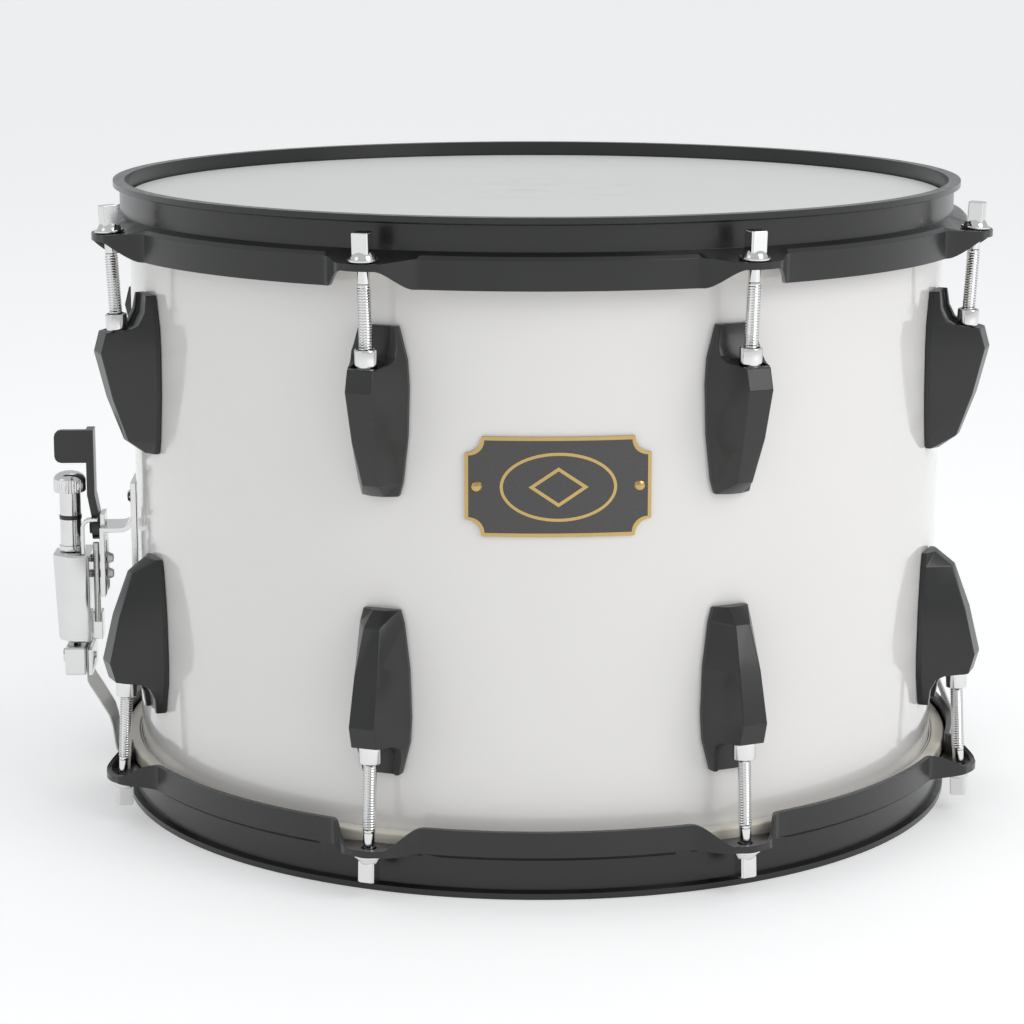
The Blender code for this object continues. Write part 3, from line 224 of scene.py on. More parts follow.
def turned(name, profile, steps, place=None, angle=30.0, ripple=None):
    """Turn a closed loop of (radius, z) points about z. Points on the axis become one point."""
    shape = bmesh.new()
    rings = []
    for r, z in profile:
        if r < 1e-7:
            rings.append([shape.verts.new((0, 0, z))])
            continue
        ring = []
        for k in range(steps):
            turn = math.tau * k / steps
            reach = r + (ripple(turn, z) if ripple else 0.0)
            ring.append(shape.verts.new((reach * math.cos(turn), reach * math.sin(turn), z)))
        rings.append(ring)
    for here, there in zip(rings, rings[1:] + rings[:1]):
        for k in range(steps):
            n = (k + 1) % steps
            corners = [here[k % len(here)], here[n % len(here)], there[n % len(there)], there[k % len(there)]]
            corners = list(dict.fromkeys(corners))
            if len(corners) > 2:
                shape.faces.new(corners)
    if place is not None:
        shape.transform(place)
    return mesh_of(name, shape, angle)


wrap = Board("wrap_gloss", IOR=1.5, Coat_Roughness=0.03, Coat_IOR=1.5)
at = wrap.place()
cloud = wrap.noise(at, 9.0, 4.0)
smudge = wrap.clamp(wrap.noise(at.scaled(1.0, 1.0, 2.5), 38.0, 5.0), 0.42, 0.75)
seam = wrap.part(at, "X").math("ABSOLUTE")
seam = (wrap.clamp(seam, SEAM_HALF, SEAM_HALF * SEAM_EASE)) * (wrap.part(at, "Y") > 0.0)
from_middle = wrap.part(at, "Z").math("SUBTRACT", WRAP_MIDDLE).math("ABSOLUTE")
# Painted shade: the wrap's colour darkens towards its top and bottom ends, where they run in under the hoops.
painted_hoop_shade = wrap.clamp(from_middle, HOOP_SHADE_FROM, HOOP_SHADE_TO)
wrap.bump(wrap.noise(at, 24.0, 2.0) + seam * 0.5 + smudge * 0.02, 0.0004, 0.10)
wrap.paint(
    Base_Color=(cloud * 0.5 + painted_hoop_shade * 0.25).blend((0.79, 0.775, 0.755), (0.73, 0.712, 0.69)),
    Roughness=(smudge * 0.6 + cloud * 0.4).between(0.10, 0.24),
    Coat_Weight=smudge.between(0.7, 0.35),
)
inner = WRAP_RADIUS - WRAP_SHEET
profile = [
    (WRAP_RADIUS - WRAP_EASE, WRAP_TOP),
    (WRAP_RADIUS, WRAP_TOP - WRAP_EASE),
    (WRAP_RADIUS, WRAP_FOOT + WRAP_EASE),
    (WRAP_RADIUS - WRAP_EASE, WRAP_FOOT),
    (inner, WRAP_FOOT),
    (inner, WRAP_TOP),
]
mesh = turned("wrap_sheet", profile, WRAP_STEPS)
shown("wrap_sheet", mesh, wrap.material, "drum", "white_wrap", "shell_wrap")

# Shell: the plywood tube under the wrap, 254 mm tall with a 6.3 mm wall. Its own solid is shown; the
# grain runs round it, and the plies show as thin bands at its edges.
ply = Board("plywood_lacquered", IOR=1.5, Coat_Weight=0.3, Coat_Roughness=0.2)
at = ply.place()
height = ply.part(at, "Z")
grain = ply.noise(at.scaled(6.0, 6.0, 90.0), 4.0, 6.0, 0.65)
figure = ply.noise(at.scaled(1.0, 1.0, 5.0), 7.0, 3.0)
plies = ply.noise(at.scaled(1.0, 1.0, 0.02), 420.0, 1.0)
ply.bump(grain, 0.0002, 0.3)
ply.paint(
    Base_Color=(grain * 0.55 + figure * 0.3 + plies * 0.15).blend((0.50, 0.31, 0.15), (0.74, 0.56, 0.35)),
    Roughness=grain.between(0.34, 0.58),
)
shell = frame["nodes"]["shell"]
shell.data.materials.clear()
shell.data.materials.append(ply.material)

# Heads: two films drawn over the bearing edges, white, 0.4 mm thick, with a rounded collar. The top
# one has a sprayed grain and grey marks where sticks land, the bottom one is smoother.
HEAD_RADIUS = 0.1772
HEAD_SHEET = 0.0004
HEAD_STEPS = 256
HEAD_TURN = 0.0016
HEAD_FLAT = 0.09
PLAYED_INNER = 0.015
PLAYED_OUTER = 0.085
HEADS = {
    "batter": {"face": 0.2617, "foot": 0.2464, "grain": 0.9},
    "snare": {"face": 0.0063, "foot": 0.0239, "grain": 0.15},
}


def film_profile(face, foot):
    """A thin film from its middle, over its rounded collar and back along its underside."""
    up = 1.0 if face > foot else -1.0
    outer = []
    inner = []
    for k in range(7):
        turn = math.pi / 2 * k / 6
        reach = HEAD_RADIUS - HEAD_TURN + HEAD_TURN * math.sin(turn)
        drop = HEAD_TURN * (1.0 - math.cos(turn))
        outer.append((reach, face - up * drop))
        thin = HEAD_TURN - HEAD_SHEET
        reach = HEAD_RADIUS - HEAD_TURN + thin * math.sin(turn)
        inner.append((reach, face - up * (HEAD_TURN - thin * math.cos(turn))))
    lip = [(HEAD_RADIUS, foot), (HEAD_RADIUS - HEAD_SHEET, foot)]
    middle = [(0.0, face - up * HEAD_SHEET), (0.0, face)]
    return [(HEAD_FLAT, face), *outer, *lip, *reversed(inner), (HEAD_FLAT, face - up * HEAD_SHEET), *middle]


for end, size in HEADS.items():
    film = Board(end + "_film", IOR=1.55, Subsurface_Weight=0.05, Subsurface_Radius=(0.002, 0.002, 0.002))
    at = film.place()
    speckle = film.noise(at, 1500.0, 2.0)
    cloud = film.noise(at, 11.0, 5.0)
    from_middle = film.node("VectorMath", "Value", {0: at.scaled(1.0, 1.0, 0.0)}, operation="LENGTH")
    marks = film.clamp(film.noise(at, 60.0, 6.0, 0.7), 0.5, 0.72)
    played = (1.0 - film.clamp(from_middle, PLAYED_INNER, PLAYED_OUTER)) * marks
    grey = played * 0.30 * size["grain"] + cloud * 0.12
    film.bump(speckle * size["grain"] + cloud * 0.2, 0.00006, 0.35)
    film.paint(
        Base_Color=grey.blend((0.83, 0.83, 0.815), (0.52, 0.52, 0.51)),
        Roughness=(speckle * 0.6 + cloud * 0.4).between(0.32, 0.52),
    )
    mesh = turned(end + "_film", film_profile(size["face"], size["foot"]), HEAD_STEPS)
    shown(end + "_film", mesh, film.material, "drum", "head_film", end + "_head")

# Flesh hoops: cream painted rings that hold the films, 5.6 mm wide and 5.5 mm high, with rounded
# corners. The lower one shows as a pale band over the bottom hoop.
FLESH_INNER = 0.1775
FLESH_OUTER = 0.1831
FLESH_ROUND = 0.0009
FLESH_LEVELS = {"batter": (0.2460, 0.2515), "snare": (0.0188, 0.0243)}


def rounded_box(inner, outer, low, high, round_by, steps=4):
    """A closed (radius, z) loop: a rectangle with rounded corners."""
    points = []
    corners = [(outer, high, 0), (inner, high, 1), (inner, low, 2), (outer, low, 3)]
    for r, z, quarter in corners:
        middle_r = r - round_by if r == outer else r + round_by
        middle_z = z - round_by if z == high else z + round_by
        for k in range(steps + 1):
            turn = math.pi / 2 * (quarter + k / steps)
            points.append((middle_r + round_by * math.cos(turn), middle_z + round_by * math.sin(turn)))
    return points


cream = Board("cream_enamel", IOR=1.5, Coat_Roughness=0.15)
at = cream.place()
cloud = cream.noise(at, 40.0, 4.0)
scuff = cream.clamp(cream.noise(at.scaled(1.0, 1.0, 6.0), 130.0, 5.0), 0.58, 0.7)
cream.bump(cream.noise(at, 500.0, 2.0), 0.00005, 0.4)
cream.paint(
    Base_Color=(cloud * 0.4 + scuff * 0.3).blend((0.80, 0.76, 0.66), (0.62, 0.57, 0.47)),
    Roughness=cloud.between(0.28, 0.46),
    Coat_Weight=cloud.between(0.5, 0.2),
)
for end, (low, high) in FLESH_LEVELS.items():
    profile = rounded_box(FLESH_INNER, FLESH_OUTER, low, high, FLESH_ROUND)
    mesh = turned(end + "_flesh_ring", profile, HEAD_STEPS)
    shown(end + "_flesh_ring", mesh, cream.material, end + "_rim", "flesh_hoop", end + "_flesh_hoop")

# Hoops: two pressed steel rings in black satin enamel, 2.2 mm sheet, with a rolled lip, a wall, a
# shoulder and a skirt that swells into eight ears and arches up under each. The lower one is the
# same form turned over, a little taller, with two gates for the snare straps.
SHEET = 0.0022
LIP_REACH = 0.0028
LIP_THICKNESS = 0.0024
WALL_INNER = 0.17805
WALL_OUTER = 0.18025
SKIRT_INNER = 0.1840
SKIRT_OUTER = 0.1862
EAR_TIP_HALF = 0.0065
EAR_TIP_SHARE = 0.9
EAR_ROOT_HALF = 0.021
EAR_REACH = 0.0071
ARCH_HALF = 0.0185
ARCH_LINTEL = 0.0006
FIRST_EAR = math.radians(-67.5)
EARS = 8
ROD_LEAN = math.radians(3.0)
MOUTH_RADIUS = 0.1913
HOLE = 0.0031
HOLE_DEPTH = 0.014
HOLE_SIDES = 24
GATE_HALF = 0.017
GATE_LOW = 0.0036
PRESS = 0.0003
TIP_SPANS = 4
ROOT_SPANS = 14
ROUND_SPANS = 18
ENDS = {
    "batter": {"place": Matrix.Translation((0, 0, 0.268)), "flesh": -0.0165, "height": 0.0273, "run": 0.0395},
    "snare": {"place": Matrix.Rotation(math.pi, 4, "X"), "flesh": -0.0188, "height": 0.0284, "run": 0.0422},
}


def eased(t):
    t = min(max(t, 0.0), 1.0)
    return t * t * (3.0 - 2.0 * t)


def mixed(a, b, t):
    return a + (b - a) * t


def black_enamel(name, low, high, gloss, wear):
    """Black paint on metal: orange peel, dust on upward faces and small pale rubs."""
    board = Board(name, IOR=1.5, Coat_Roughness=0.12, Coat_IOR=1.5)
    at = board.place()
    cloud = board.noise(at, 30.0, 4.0)
    peel = board.noise(at, 900.0, 2.0)
    fine = board.noise(at, 220.0, 5.0, 0.7)
    facing = board.part(board.node("NewGeometry", "Normal"), "Z")
    dust = board.clamp(facing, 0.6, 1.0) * board.clamp(fine, 0.45, 0.75)
    rub = board.clamp(board.noise(at.scaled(1.0, 1.0, 3.0), 95.0, 6.0, 0.75), 0.66, 0.70)
    board.bump(peel * 0.7 + cloud * 0.3 - rub * 0.5, 0.00008, 0.45)
    board.paint(
        Base_Color=(cloud * 0.2 + dust * 0.2 + rub * wear).blend(low, high),
        Roughness=(cloud * 0.4 + fine * 0.3 + dust * 0.5).between(gloss, gloss + 0.22),
        Coat_Weight=(1.0 - dust) * 0.2,
    )
    return board.material


def ear_share(distance):
    """How far the skirt has swelled into an ear, from 0 on the round to 1 at its tip."""
    if distance <= EAR_TIP_HALF:
        return 1.0 - (1.0 - EAR_TIP_SHARE) * (distance / EAR_TIP_HALF) ** 2
    return EAR_TIP_SHARE * (1.0 - eased((distance - EAR_TIP_HALF) / (EAR_ROOT_HALF - EAR_TIP_HALF)))


def hoop_section(end, distance):
    rod = MOUTH_RADIUS + end["run"] * math.tan(ROD_LEAN)
    shoulder = end["flesh"] + PRESS

    def seat(radius):
        return end["flesh"] + (rod - radius) * math.tan(ROD_LEAN)

    share = ear_share(distance)
    level = min(1.0, share / EAR_TIP_SHARE)
    corner = SHEET / 3
    skirt = mixed(SKIRT_OUTER, rod + EAR_REACH, share)
    inside = skirt - SHEET
    root = mixed(SKIRT_OUTER - 2 * corner, SKIRT_OUTER, level)
    fold = mixed(SKIRT_INNER, SKIRT_INNER + corner, level)
    rise = eased((distance - EAR_TIP_HALF) / (ARCH_HALF - EAR_TIP_HALF))
    lintel = seat(rod + EAR_REACH - SHEET) - SHEET - ARCH_LINTEL
    foot = mixed(lintel, -end["height"], rise)
    top = shoulder + SHEET
    return [
        (WALL_INNER, 0.0),
        (WALL_OUTER + LIP_REACH, 0.0),
        (WALL_OUTER + LIP_REACH, -LIP_THICKNESS),
        (WALL_OUTER, -LIP_THICKNESS - corner),
        (WALL_OUTER, top + corner),
        (root, mixed(top - corner / 2, seat(root), level)),
        (skirt, mixed(top - 2.5 * corner, seat(skirt), level)),
        (skirt, foot),
        (inside, foot),
        (inside, mixed(shoulder - 2 * corner, seat(inside) - SHEET, level)),
        (fold, mixed(shoulder - corner, seat(fold) - SHEET, level)),
        (SKIRT_INNER - corner, shoulder),
        (WALL_INNER, shoulder),
    ]


def hoop_stations():
    """(angle, distance from the nearest ear) of each section round a hoop."""
    tip = [EAR_TIP_HALF * k / TIP_SPANS for k in range(TIP_SPANS + 1)]
    run = EAR_ROOT_HALF - EAR_TIP_HALF
    near = tip + [EAR_TIP_HALF + run * k / ROOT_SPANS for k in range(1, ROOT_SPANS + 1)]
    ear_turn = EAR_ROOT_HALF / MOUTH_RADIUS
    gap = math.tau / EARS - 2 * ear_turn
    stations = []
    for number in range(EARS):
        middle = FIRST_EAR + number * math.tau / EARS
        stations += [(middle - d / MOUTH_RADIUS, d) for d in reversed(near[1:])]
        stations += [(middle + d / MOUTH_RADIUS, d) for d in near]
        start = middle + ear_turn
        stations += [(start + gap * k / ROUND_SPANS, EAR_ROOT_HALF) for k in range(1, ROUND_SPANS)]
    return stations


def add_bevel(obj, width, segments=2, angle=28.0):
    step = obj.modifiers.new("edges", "BEVEL")
    step.width = width
    step.segments = segments
    step.limit_method = "ANGLE"
    step.angle_limit = math.radians(angle)
    step.use_clamp_overlap = True
    step.harden_normals = False


def rod_axis(end, number):
    """A rod's frame on its ear's seat, in the frame of its end, leaning outwards."""
    angle = FIRST_EAR + number * math.tau / EARS
    reach = MOUTH_RADIUS + end["run"] * math.tan(ROD_LEAN)
    out = Vector((reach * math.cos(angle), reach * math.sin(angle), end["flesh"]))
    turn = Matrix.Rotation(angle, 4, "Z") @ Matrix.Rotation(ROD_LEAN, 4, "Y")
    return Matrix.Translation(out) @ turn


def hoop_cutter(name, end):
    """Rod holes, and on the snare hoop a box through both gates, as one hidden object."""
    shape = bmesh.new()
    for number in range(EARS):
        place = end["place"] @ rod_axis(end, number)
        bmesh.ops.create_cone(
            shape,
            cap_ends=True,
            segments=HOLE_SIDES,
            radius1=HOLE,
            radius2=HOLE,
            depth=HOLE_DEPTH,
            matrix=place,
        )
    if name == "snare":
        low = end["flesh"] + PRESS + SHEET * 4 / 3
        middle = end["place"] @ Matrix.Translation((0, 0, (low - GATE_LOW) / 2))
        size = Matrix.Diagonal((2.2 * SKIRT_OUTER, 2 * GATE_HALF, -GATE_LOW - low, 1.0))
        bmesh.ops.create_cube(shape, size=1.0, matrix=middle @ size)
    cutter = bpy.data.objects.new(name + "_cutter", mesh_of(name + "_cutter", shape))
    bpy.context.scene.collection.objects.link(cutter)
    return cutter


hoop_black = black_enamel("hoop_enamel", (0.0055, 0.0055, 0.006), (0.045, 0.045, 0.045), 0.22, 0.2)
for name, end in ENDS.items():
    shape = bmesh.new()
    rings = []
    for angle, distance in hoop_stations():
        out = Vector((math.cos(angle), math.sin(angle), 0.0))
        section = hoop_section(end, distance)
        rings.append([shape.verts.new(out * r + Vector((0, 0, z))) for r, z in section])
    for here, there in zip(rings, rings[1:] + rings[:1]):
        for k, corner in enumerate(here):
            n = (k + 1) % len(here)
            shape.faces.new((corner, here[n], there[n], there[k]))
    shape.transform(end["place"])
    raw = bpy.data.objects.new(name + "_raw", mesh_of(name + "_raw", shape))
    bpy.context.scene.collection.objects.link(raw)
    cutter = hoop_cutter(name, end)
    step = raw.modifiers.new("holes", "BOOLEAN")
    step.operation = "DIFFERENCE"
    step.solver = "EXACT"
    step.object = cutter
    graph = bpy.context.evaluated_depsgraph_get()
    mesh = bpy.data.meshes.new_from_object(raw.evaluated_get(graph), depsgraph=graph)
    bpy.data.objects.remove(raw)
    bpy.data.objects.remove(cutter)
    hoop = shown(name + "_ring", smooth(mesh), hoop_black, name + "_rim", "black_hoop", name + "_hoop")
    add_bevel(hoop, 0.00055)

# Lugs: sixteen black cast wedges, 66.5 mm tall, with a scooped mouth. Each is the CAD piece with its
# edges rounded, and has a chromed swivel nut, 8.9 mm across, standing in its mouth.
FERRULE_OUTER = 0.00445
FERRULE_INNER = 0.0033
FERRULE_FOOT = -0.004
FERRULE_TOP = 0.00605
FERRULE_ROUND = 0.0005
FERRULE_STEPS = 24
LUG_MOUTHS = {"batter": -0.056, "snare": -0.061}
LUG_EDGE = 0.0007
SLIVER = 1e-6


def body_of(node):
    """The CAD body that a node belongs to."""
    return next(body for body, nodes in frame["record"]["behaviour"]["bodies"].items() if node in nodes)


def cad_mesh(node, name):
    """A copy of a CAD node's mesh with its split points merged and its flat faces whole."""
    shape = bmesh.new()
    shape.from_mesh(frame["nodes"][node].data)
    bmesh.ops.remove_doubles(shape, verts=shape.verts, dist=SLIVER)
    bmesh.ops.dissolve_limit(
        shape, angle_limit=math.radians(0.4), verts=shape.verts, edges=shape.edges, delimit={"NORMAL"}
    )
    mesh = mesh_of(name, shape)
    for attribute in [a for a in mesh.attributes if a.name == "custom_normal"]:
        mesh.attributes.remove(attribute)
    return mesh


def dressed(node, material, slot, width, segments=2):
    """The CAD node as a piece of its own, with rounded edges and this material."""
    made = shown(node + "_piece", cad_mesh(node, node + "_piece"), material, body_of(node), slot, node)
    if width:
        add_bevel(made, width, segments)
    return made


def polished(name, colour, low, high, scratch=0.35):
    """Bright plated metal with clouded polish, fine lines and fingerprints."""
    board = Board(name, Metallic=1.0)
    at = board.place()
    cloud = board.noise(at, 70.0, 4.0)
    lines = board.noise(at.scaled(1.0, 1.0, 14.0), 260.0, 5.0, 0.6)
    spots = board.clamp(board.noise(at, 480.0, 4.0, 0.7), 0.66, 0.72)
    board.bump(lines * 0.6 + spots * 0.4, 0.00003, scratch)
    dim = tuple(c * 0.72 for c in colour)
    board.paint(
        Base_Color=(cloud * 0.35 + spots * 0.4).blend(colour, dim),
        Roughness=(cloud * 0.6 + lines * 0.4).between(low, high),
    )
    return board.material


lug_black = black_enamel("lug_enamel", (0.0065, 0.0065, 0.007), (0.05, 0.05, 0.05), 0.26, 0.15)
chrome = polished("rod_chrome", (0.80, 0.80, 0.79), 0.06, 0.17)
ring = rounded_box(FERRULE_INNER, FERRULE_OUTER, FERRULE_FOOT, FERRULE_TOP, FERRULE_ROUND, 3)
for name, end in ENDS.items():
    for number in range(EARS):
        dressed(f"{name}_lug_{number + 1}", lug_black, "black_lug", LUG_EDGE, 3)
        seat = rod_axis(end, number)
        down = (end["flesh"] - LUG_MOUTHS[name]) / math.cos(ROD_LEAN)
        place = end["place"] @ seat @ Matrix.Translation((0, 0, -down))
        label = f"{name}_ferrule_{number + 1}"
        shown(label, turned(label, ring, FERRULE_STEPS, place), chrome, "drum", "chrome")

# Rods: sixteen chromed key rods with a 6.7 mm square head on a flange, a washer, a plain neck and a
# right-hand thread of 1.058 mm pitch. All are copies of one mesh, and each rides on its own body.
THREAD_PITCH = 0.001058
THREAD_ROOT = 0.00238
THREAD_CREST = 0.0028
NECK_FOOT = -0.0085
ROD_FOOT = -0.0575
THREAD_ROWS = 4
THREAD_SIDES = 14
THREAD_RUN_OUT = 6
HEAD_HALF = 0.00335
HEAD_TOP = 0.0112
HEAD_FOOT = 0.0015
HEAD_CORNER = 0.0006
HEAD_CROWN = 0.0009
FLANGE_STEPS = 28


def thread_shape():
    """A closed shank whose surface winds down as a thread, with plain ends."""
    shape = bmesh.new()
    rows = round((NECK_FOOT - ROD_FOOT) / THREAD_PITCH * THREAD_ROWS)
    rings = []
    for row in range(rows + 1):
        z = NECK_FOOT + (ROD_FOOT - NECK_FOOT) * row / rows
        fade = min(1.0, row / THREAD_RUN_OUT, (rows - row) / THREAD_RUN_OUT)
        ring = []
        for k in range(THREAD_SIDES):
            turn = math.tau * k / THREAD_SIDES
            phase = (z / THREAD_PITCH - k / THREAD_SIDES) % 1.0
            crest = 1.0 - abs(2.0 * phase - 1.0)
            r = THREAD_ROOT + (THREAD_CREST - THREAD_ROOT) * crest * fade
            ring.append(shape.verts.new((r * math.cos(turn), r * math.sin(turn), z)))
        rings.append(ring)
    for here, there in zip(rings, rings[1:]):
        for k in range(THREAD_SIDES):
            n = (k + 1) % THREAD_SIDES
            shape.faces.new((here[k], here[n], there[n], there[k]))
    shape.faces.new(rings[0])
    shape.faces.new(rings[-1])
    return shape


def rod_head_shape():
    """The square head with its corners eased and its top crowned."""
    shape = bmesh.new()
    size = Matrix.Diagonal((2 * HEAD_HALF, 2 * HEAD_HALF, HEAD_TOP - HEAD_FOOT, 1.0))
    middle = Matrix.Translation((0, 0, (HEAD_TOP + HEAD_FOOT) / 2))
    bmesh.ops.create_cube(shape, size=1.0, matrix=middle @ size)
    uprights = [e for e in shape.edges if abs(e.verts[0].co.z - e.verts[1].co.z) > 0.001]
    bmesh.ops.bevel(shape, geom=uprights, offset=HEAD_CORNER, segments=3, affect="EDGES")
    crown = [e for e in shape.edges if all(v.co.z > HEAD_TOP - 1e-5 for v in e.verts)]
    bmesh.ops.bevel(shape, geom=crown, offset=HEAD_CROWN, segments=3, affect="EDGES", clamp_overlap=True)
    return shape


flange = [
    (0.0, 0.0042),
    (0.0033, 0.0040),
    (0.0042, 0.0031),
    (0.0049, 0.0018),
    (0.0050, 0.0013),
    (0.0058, 0.0013),
    (0.0061, 0.0010),
    (0.0061, 0.0005),
    (0.0058, 0.0003),
    (0.0024, 0.0003),
    (0.0024, -0.0083),
    (0.0020, NECK_FOOT),
    (0.0, NECK_FOOT),
]
rod = bmesh.new()
rod_parts = [
    turned("flange", flange, FLANGE_STEPS),
    mesh_of("head", rod_head_shape()),
    mesh_of("thread", thread_shape(), 60.0),
]
for part in rod_parts:
    rod.from_mesh(part)
    bpy.data.meshes.remove(part)
rod_pattern = bpy.data.meshes.new("key_rod")
rod.to_mesh(rod_pattern)
rod.free()
smooth(rod_pattern, 40.0)
for name, end in ENDS.items():
    for number in range(EARS):
        count = (3 - number) % EARS + 1 if name == "snare" else number + 1
        mesh = rod_pattern.copy()
        mesh.transform(end["place"] @ rod_axis(end, number))
        node = f"{name}_rod_{count}"
        shown(node + "_piece", mesh, chrome, body_of(node), "chrome", node)

# Badge: a plaque 72 by 39 mm bent round the shell, with scooped corners: a brass plate whose flat is
# filled with black enamel, and a raised rim, an oval and a diamond. It carries no lettering.
BADGE_Z = 0.1642
BADGE_HALF = 0.036
BADGE_TALL = 0.0195
BADGE_SCOOP = 0.0065
BADGE_FOOT = 0.0003
BADGE_PLATE = 0.0006
RIM_WIDTH = 0.0014
FIELD_SHEET = 0.00015
RELIEF = 0.0009
BADGE_PARTS = 18
SLAB_ROWS = 5
OVAL = (0.0225, 0.0135)
LINE_WIDTH = 0.0012
DIAMOND = (0.0115, 0.0078)
DIAMOND_SHARE = 0.8
PIN_INSET = 0.0045


def plaque_outline(inset, steps=8):
    """Counter-clockwise (along, up) points of the plaque, its corners scooped inwards."""
    half, tall, scoop = BADGE_HALF, BADGE_TALL, BADGE_SCOOP
    points = []
    for a, b, quarter in ((1, 1, 3), (-1, 1, 4), (-1, -1, 5), (1, -1, 6)):
        for k in range(steps + 1):
            turn = math.pi / 2 * (quarter - k / steps)
            points.append((a * half + scoop * math.cos(turn), b * tall + scoop * math.sin(turn)))
    shrunk = []
    for a, b in parted(points):
        in_a = math.copysign(inset, a) * abs(a) / half
        in_b = math.copysign(inset, b) * abs(b) / tall
        shrunk.append((a - in_a, b - in_b))
    return shrunk


def parted(points):
    """The same closed outline with its long sides cut short enough to follow the shell."""
    made = []
    for here, there in zip(points, points[1:] + points[:1]):
        count = max(1, math.ceil(BADGE_PARTS * math.dist(here, there) / BADGE_HALF))
        for k in range(count):
            share = k / count
            made.append((mixed(here[0], there[0], share), mixed(here[1], there[1], share)))
    return made


def oval_outline(half, tall, steps=56):
    turns = [math.tau * k / steps for k in range(steps)]
    return [(half * math.cos(turn), tall * math.sin(turn)) for turn in turns]


def on_shell(along, up, rise):
    """A point of the plaque's flat plan, bent round the drum at its front."""
    radius = WRAP_RADIUS + rise
    turn = -math.pi / 2 + along / WRAP_RADIUS
    return (radius * math.cos(turn), radius * math.sin(turn), BADGE_Z + up)


def bent_slab(name, outline, low, high, hole=None):
    """A thin slab with this outline, and a hole of as many points if one is given, bent round."""
    shape = bmesh.new()
    loops = [[shape.verts.new(on_shell(a, b, level)) for a, b in outline] for level in (low, high)]
    count = len(outline)
    if hole:
        loops += [[shape.verts.new(on_shell(a, b, level)) for a, b in hole] for level in (high, low)]
        pairs = zip(loops, loops[1:] + loops[:1])
    else:
        for level, loop in zip((low, high), loops):
            ring = loop
            for row in range(1, SLAB_ROWS + 1):
                share = 1.0 - row / (SLAB_ROWS + 0.5)
                there = [shape.verts.new(on_shell(a * share, b * share, level)) for a, b in outline]
                for k in range(count):
                    n = (k + 1) % count
                    shape.faces.new((ring[k], ring[n], there[n], there[k]))
                ring = there
            shape.faces.new(ring)
        pairs = [(loops[0], loops[1])]
    for here, there in pairs:
        for k in range(count):
            n = (k + 1) % count
            shape.faces.new((here[k], here[n], there[n], there[k]))
    return mesh_of(name, shape, 35.0)


brass = polished("badge_metal", (0.60, 0.43, 0.17), 0.16, 0.34, 0.6)
enamel = Board("badge_enamel", IOR=1.55, Coat_Roughness=0.05)
at = enamel.place()
cloud = enamel.noise(at, 120.0, 4.0)
pits = enamel.clamp(enamel.noise(at, 700.0, 3.0), 0.62, 0.7)
enamel.bump(cloud - pits * 0.6, 0.00006, 0.4)
enamel.paint(
    Base_Color=(cloud * 0.5 + pits * 0.3).blend((0.011, 0.011, 0.012), (0.06, 0.055, 0.05)),
    Roughness=cloud.between(0.12, 0.3),
    Coat_Weight=cloud.between(0.9, 0.5),
)
plate_top = BADGE_FOOT + BADGE_PLATE
outer = plaque_outline(0.0)
field = plaque_outline(RIM_WIDTH)
mesh = bent_slab("badge_plate", outer, BADGE_FOOT, plate_top)
shown("badge_plate", mesh, brass, "drum", "badge_brass", "badge")
mesh = bent_slab("badge_field", plaque_outline(RIM_WIDTH * 1.02), plate_top, plate_top + FIELD_SHEET)
shown("badge_field", mesh, enamel.material, "drum", "black_lug")
mesh = bent_slab("badge_rim", outer, plate_top, BADGE_FOOT + RELIEF, field)
shown("badge_rim", mesh, brass, "drum", "badge_brass")
oval = oval_outline(*OVAL)
inner_oval = oval_outline(*[half - LINE_WIDTH for half in OVAL])
mesh = bent_slab("badge_oval", oval, plate_top, BADGE_FOOT + RELIEF, inner_oval)
shown("badge_oval", mesh, brass, "drum", "badge_brass")
diamond = parted([(DIAMOND[0], 0.0), (0.0, DIAMOND[1]), (-DIAMOND[0], 0.0), (0.0, -DIAMOND[1])])
inner_diamond = [(a * DIAMOND_SHARE, b * DIAMOND_SHARE) for a, b in diamond]
mesh = bent_slab("badge_diamond", diamond, plate_top, BADGE_FOOT + RELIEF, inner_diamond)
shown("badge_diamond", mesh, brass, "drum", "badge_brass")
pin = [(0.0, 0.0012), (0.0009, 0.0011), (0.0018, 0.0007), (0.0023, 0.0), (0.0, 0.0)]
for side in (-1, 1):
    x, y, z = on_shell(side * (BADGE_HALF - PIN_INSET), 0.0, plate_top)
    turn = Vector((x, y, 0.0)).to_track_quat("Z", "Y").to_matrix().to_4x4()
    label = "badge_pin_left" if side < 0 else "badge_pin_right"
    mesh = turned(label, pin, 24, Matrix.Translation((x, y, z)) @ turn)
    shown(label, mesh, brass, "drum", "badge_brass")

# Strainer: bent sheet bracket, sliding housing, link, hook strip, clamp and screws, all chromed, and
# the lever in black, at -X. The butt plate at +X and the vent at the back are chromed the same way.
# All are the CAD pieces with rounded edges.
steel = polished("strainer_chrome", (0.76, 0.76, 0.755), 0.07, 0.20, 0.5)
lever_black = black_enamel("lever_enamel", (0.011, 0.011, 0.012), (0.08, 0.08, 0.08), 0.26, 0.25)
dressed("strainer_lever", lever_black, "black_hoop", 0.0006, 3)
ROUNDED = {
    "strainer_bracket": 0.0004,
    "strainer_bracket_screw_upper": 0.0004,
    "strainer_bracket_screw_lower": 0.0004,
    "strainer_housing": 0.0009,
    "strainer_guide_screw_upper": 0.0003,
    "strainer_guide_screw_lower": 0.0003,
    "strainer_link": 0.0003,
    "strainer_hook": 0.0003,
    "strainer_clamp_block": 0.0006,
    "strainer_clamp_bar": 0.0003,
    "butt_plate": 0.0004,
    "butt_clamp_bar": 0.0004,
    "butt_screw": 0.0004,
    "vent_grommet": 0.0003,
}
for node, width in ROUNDED.items():
    dressed(node, steel, "chrome", width)

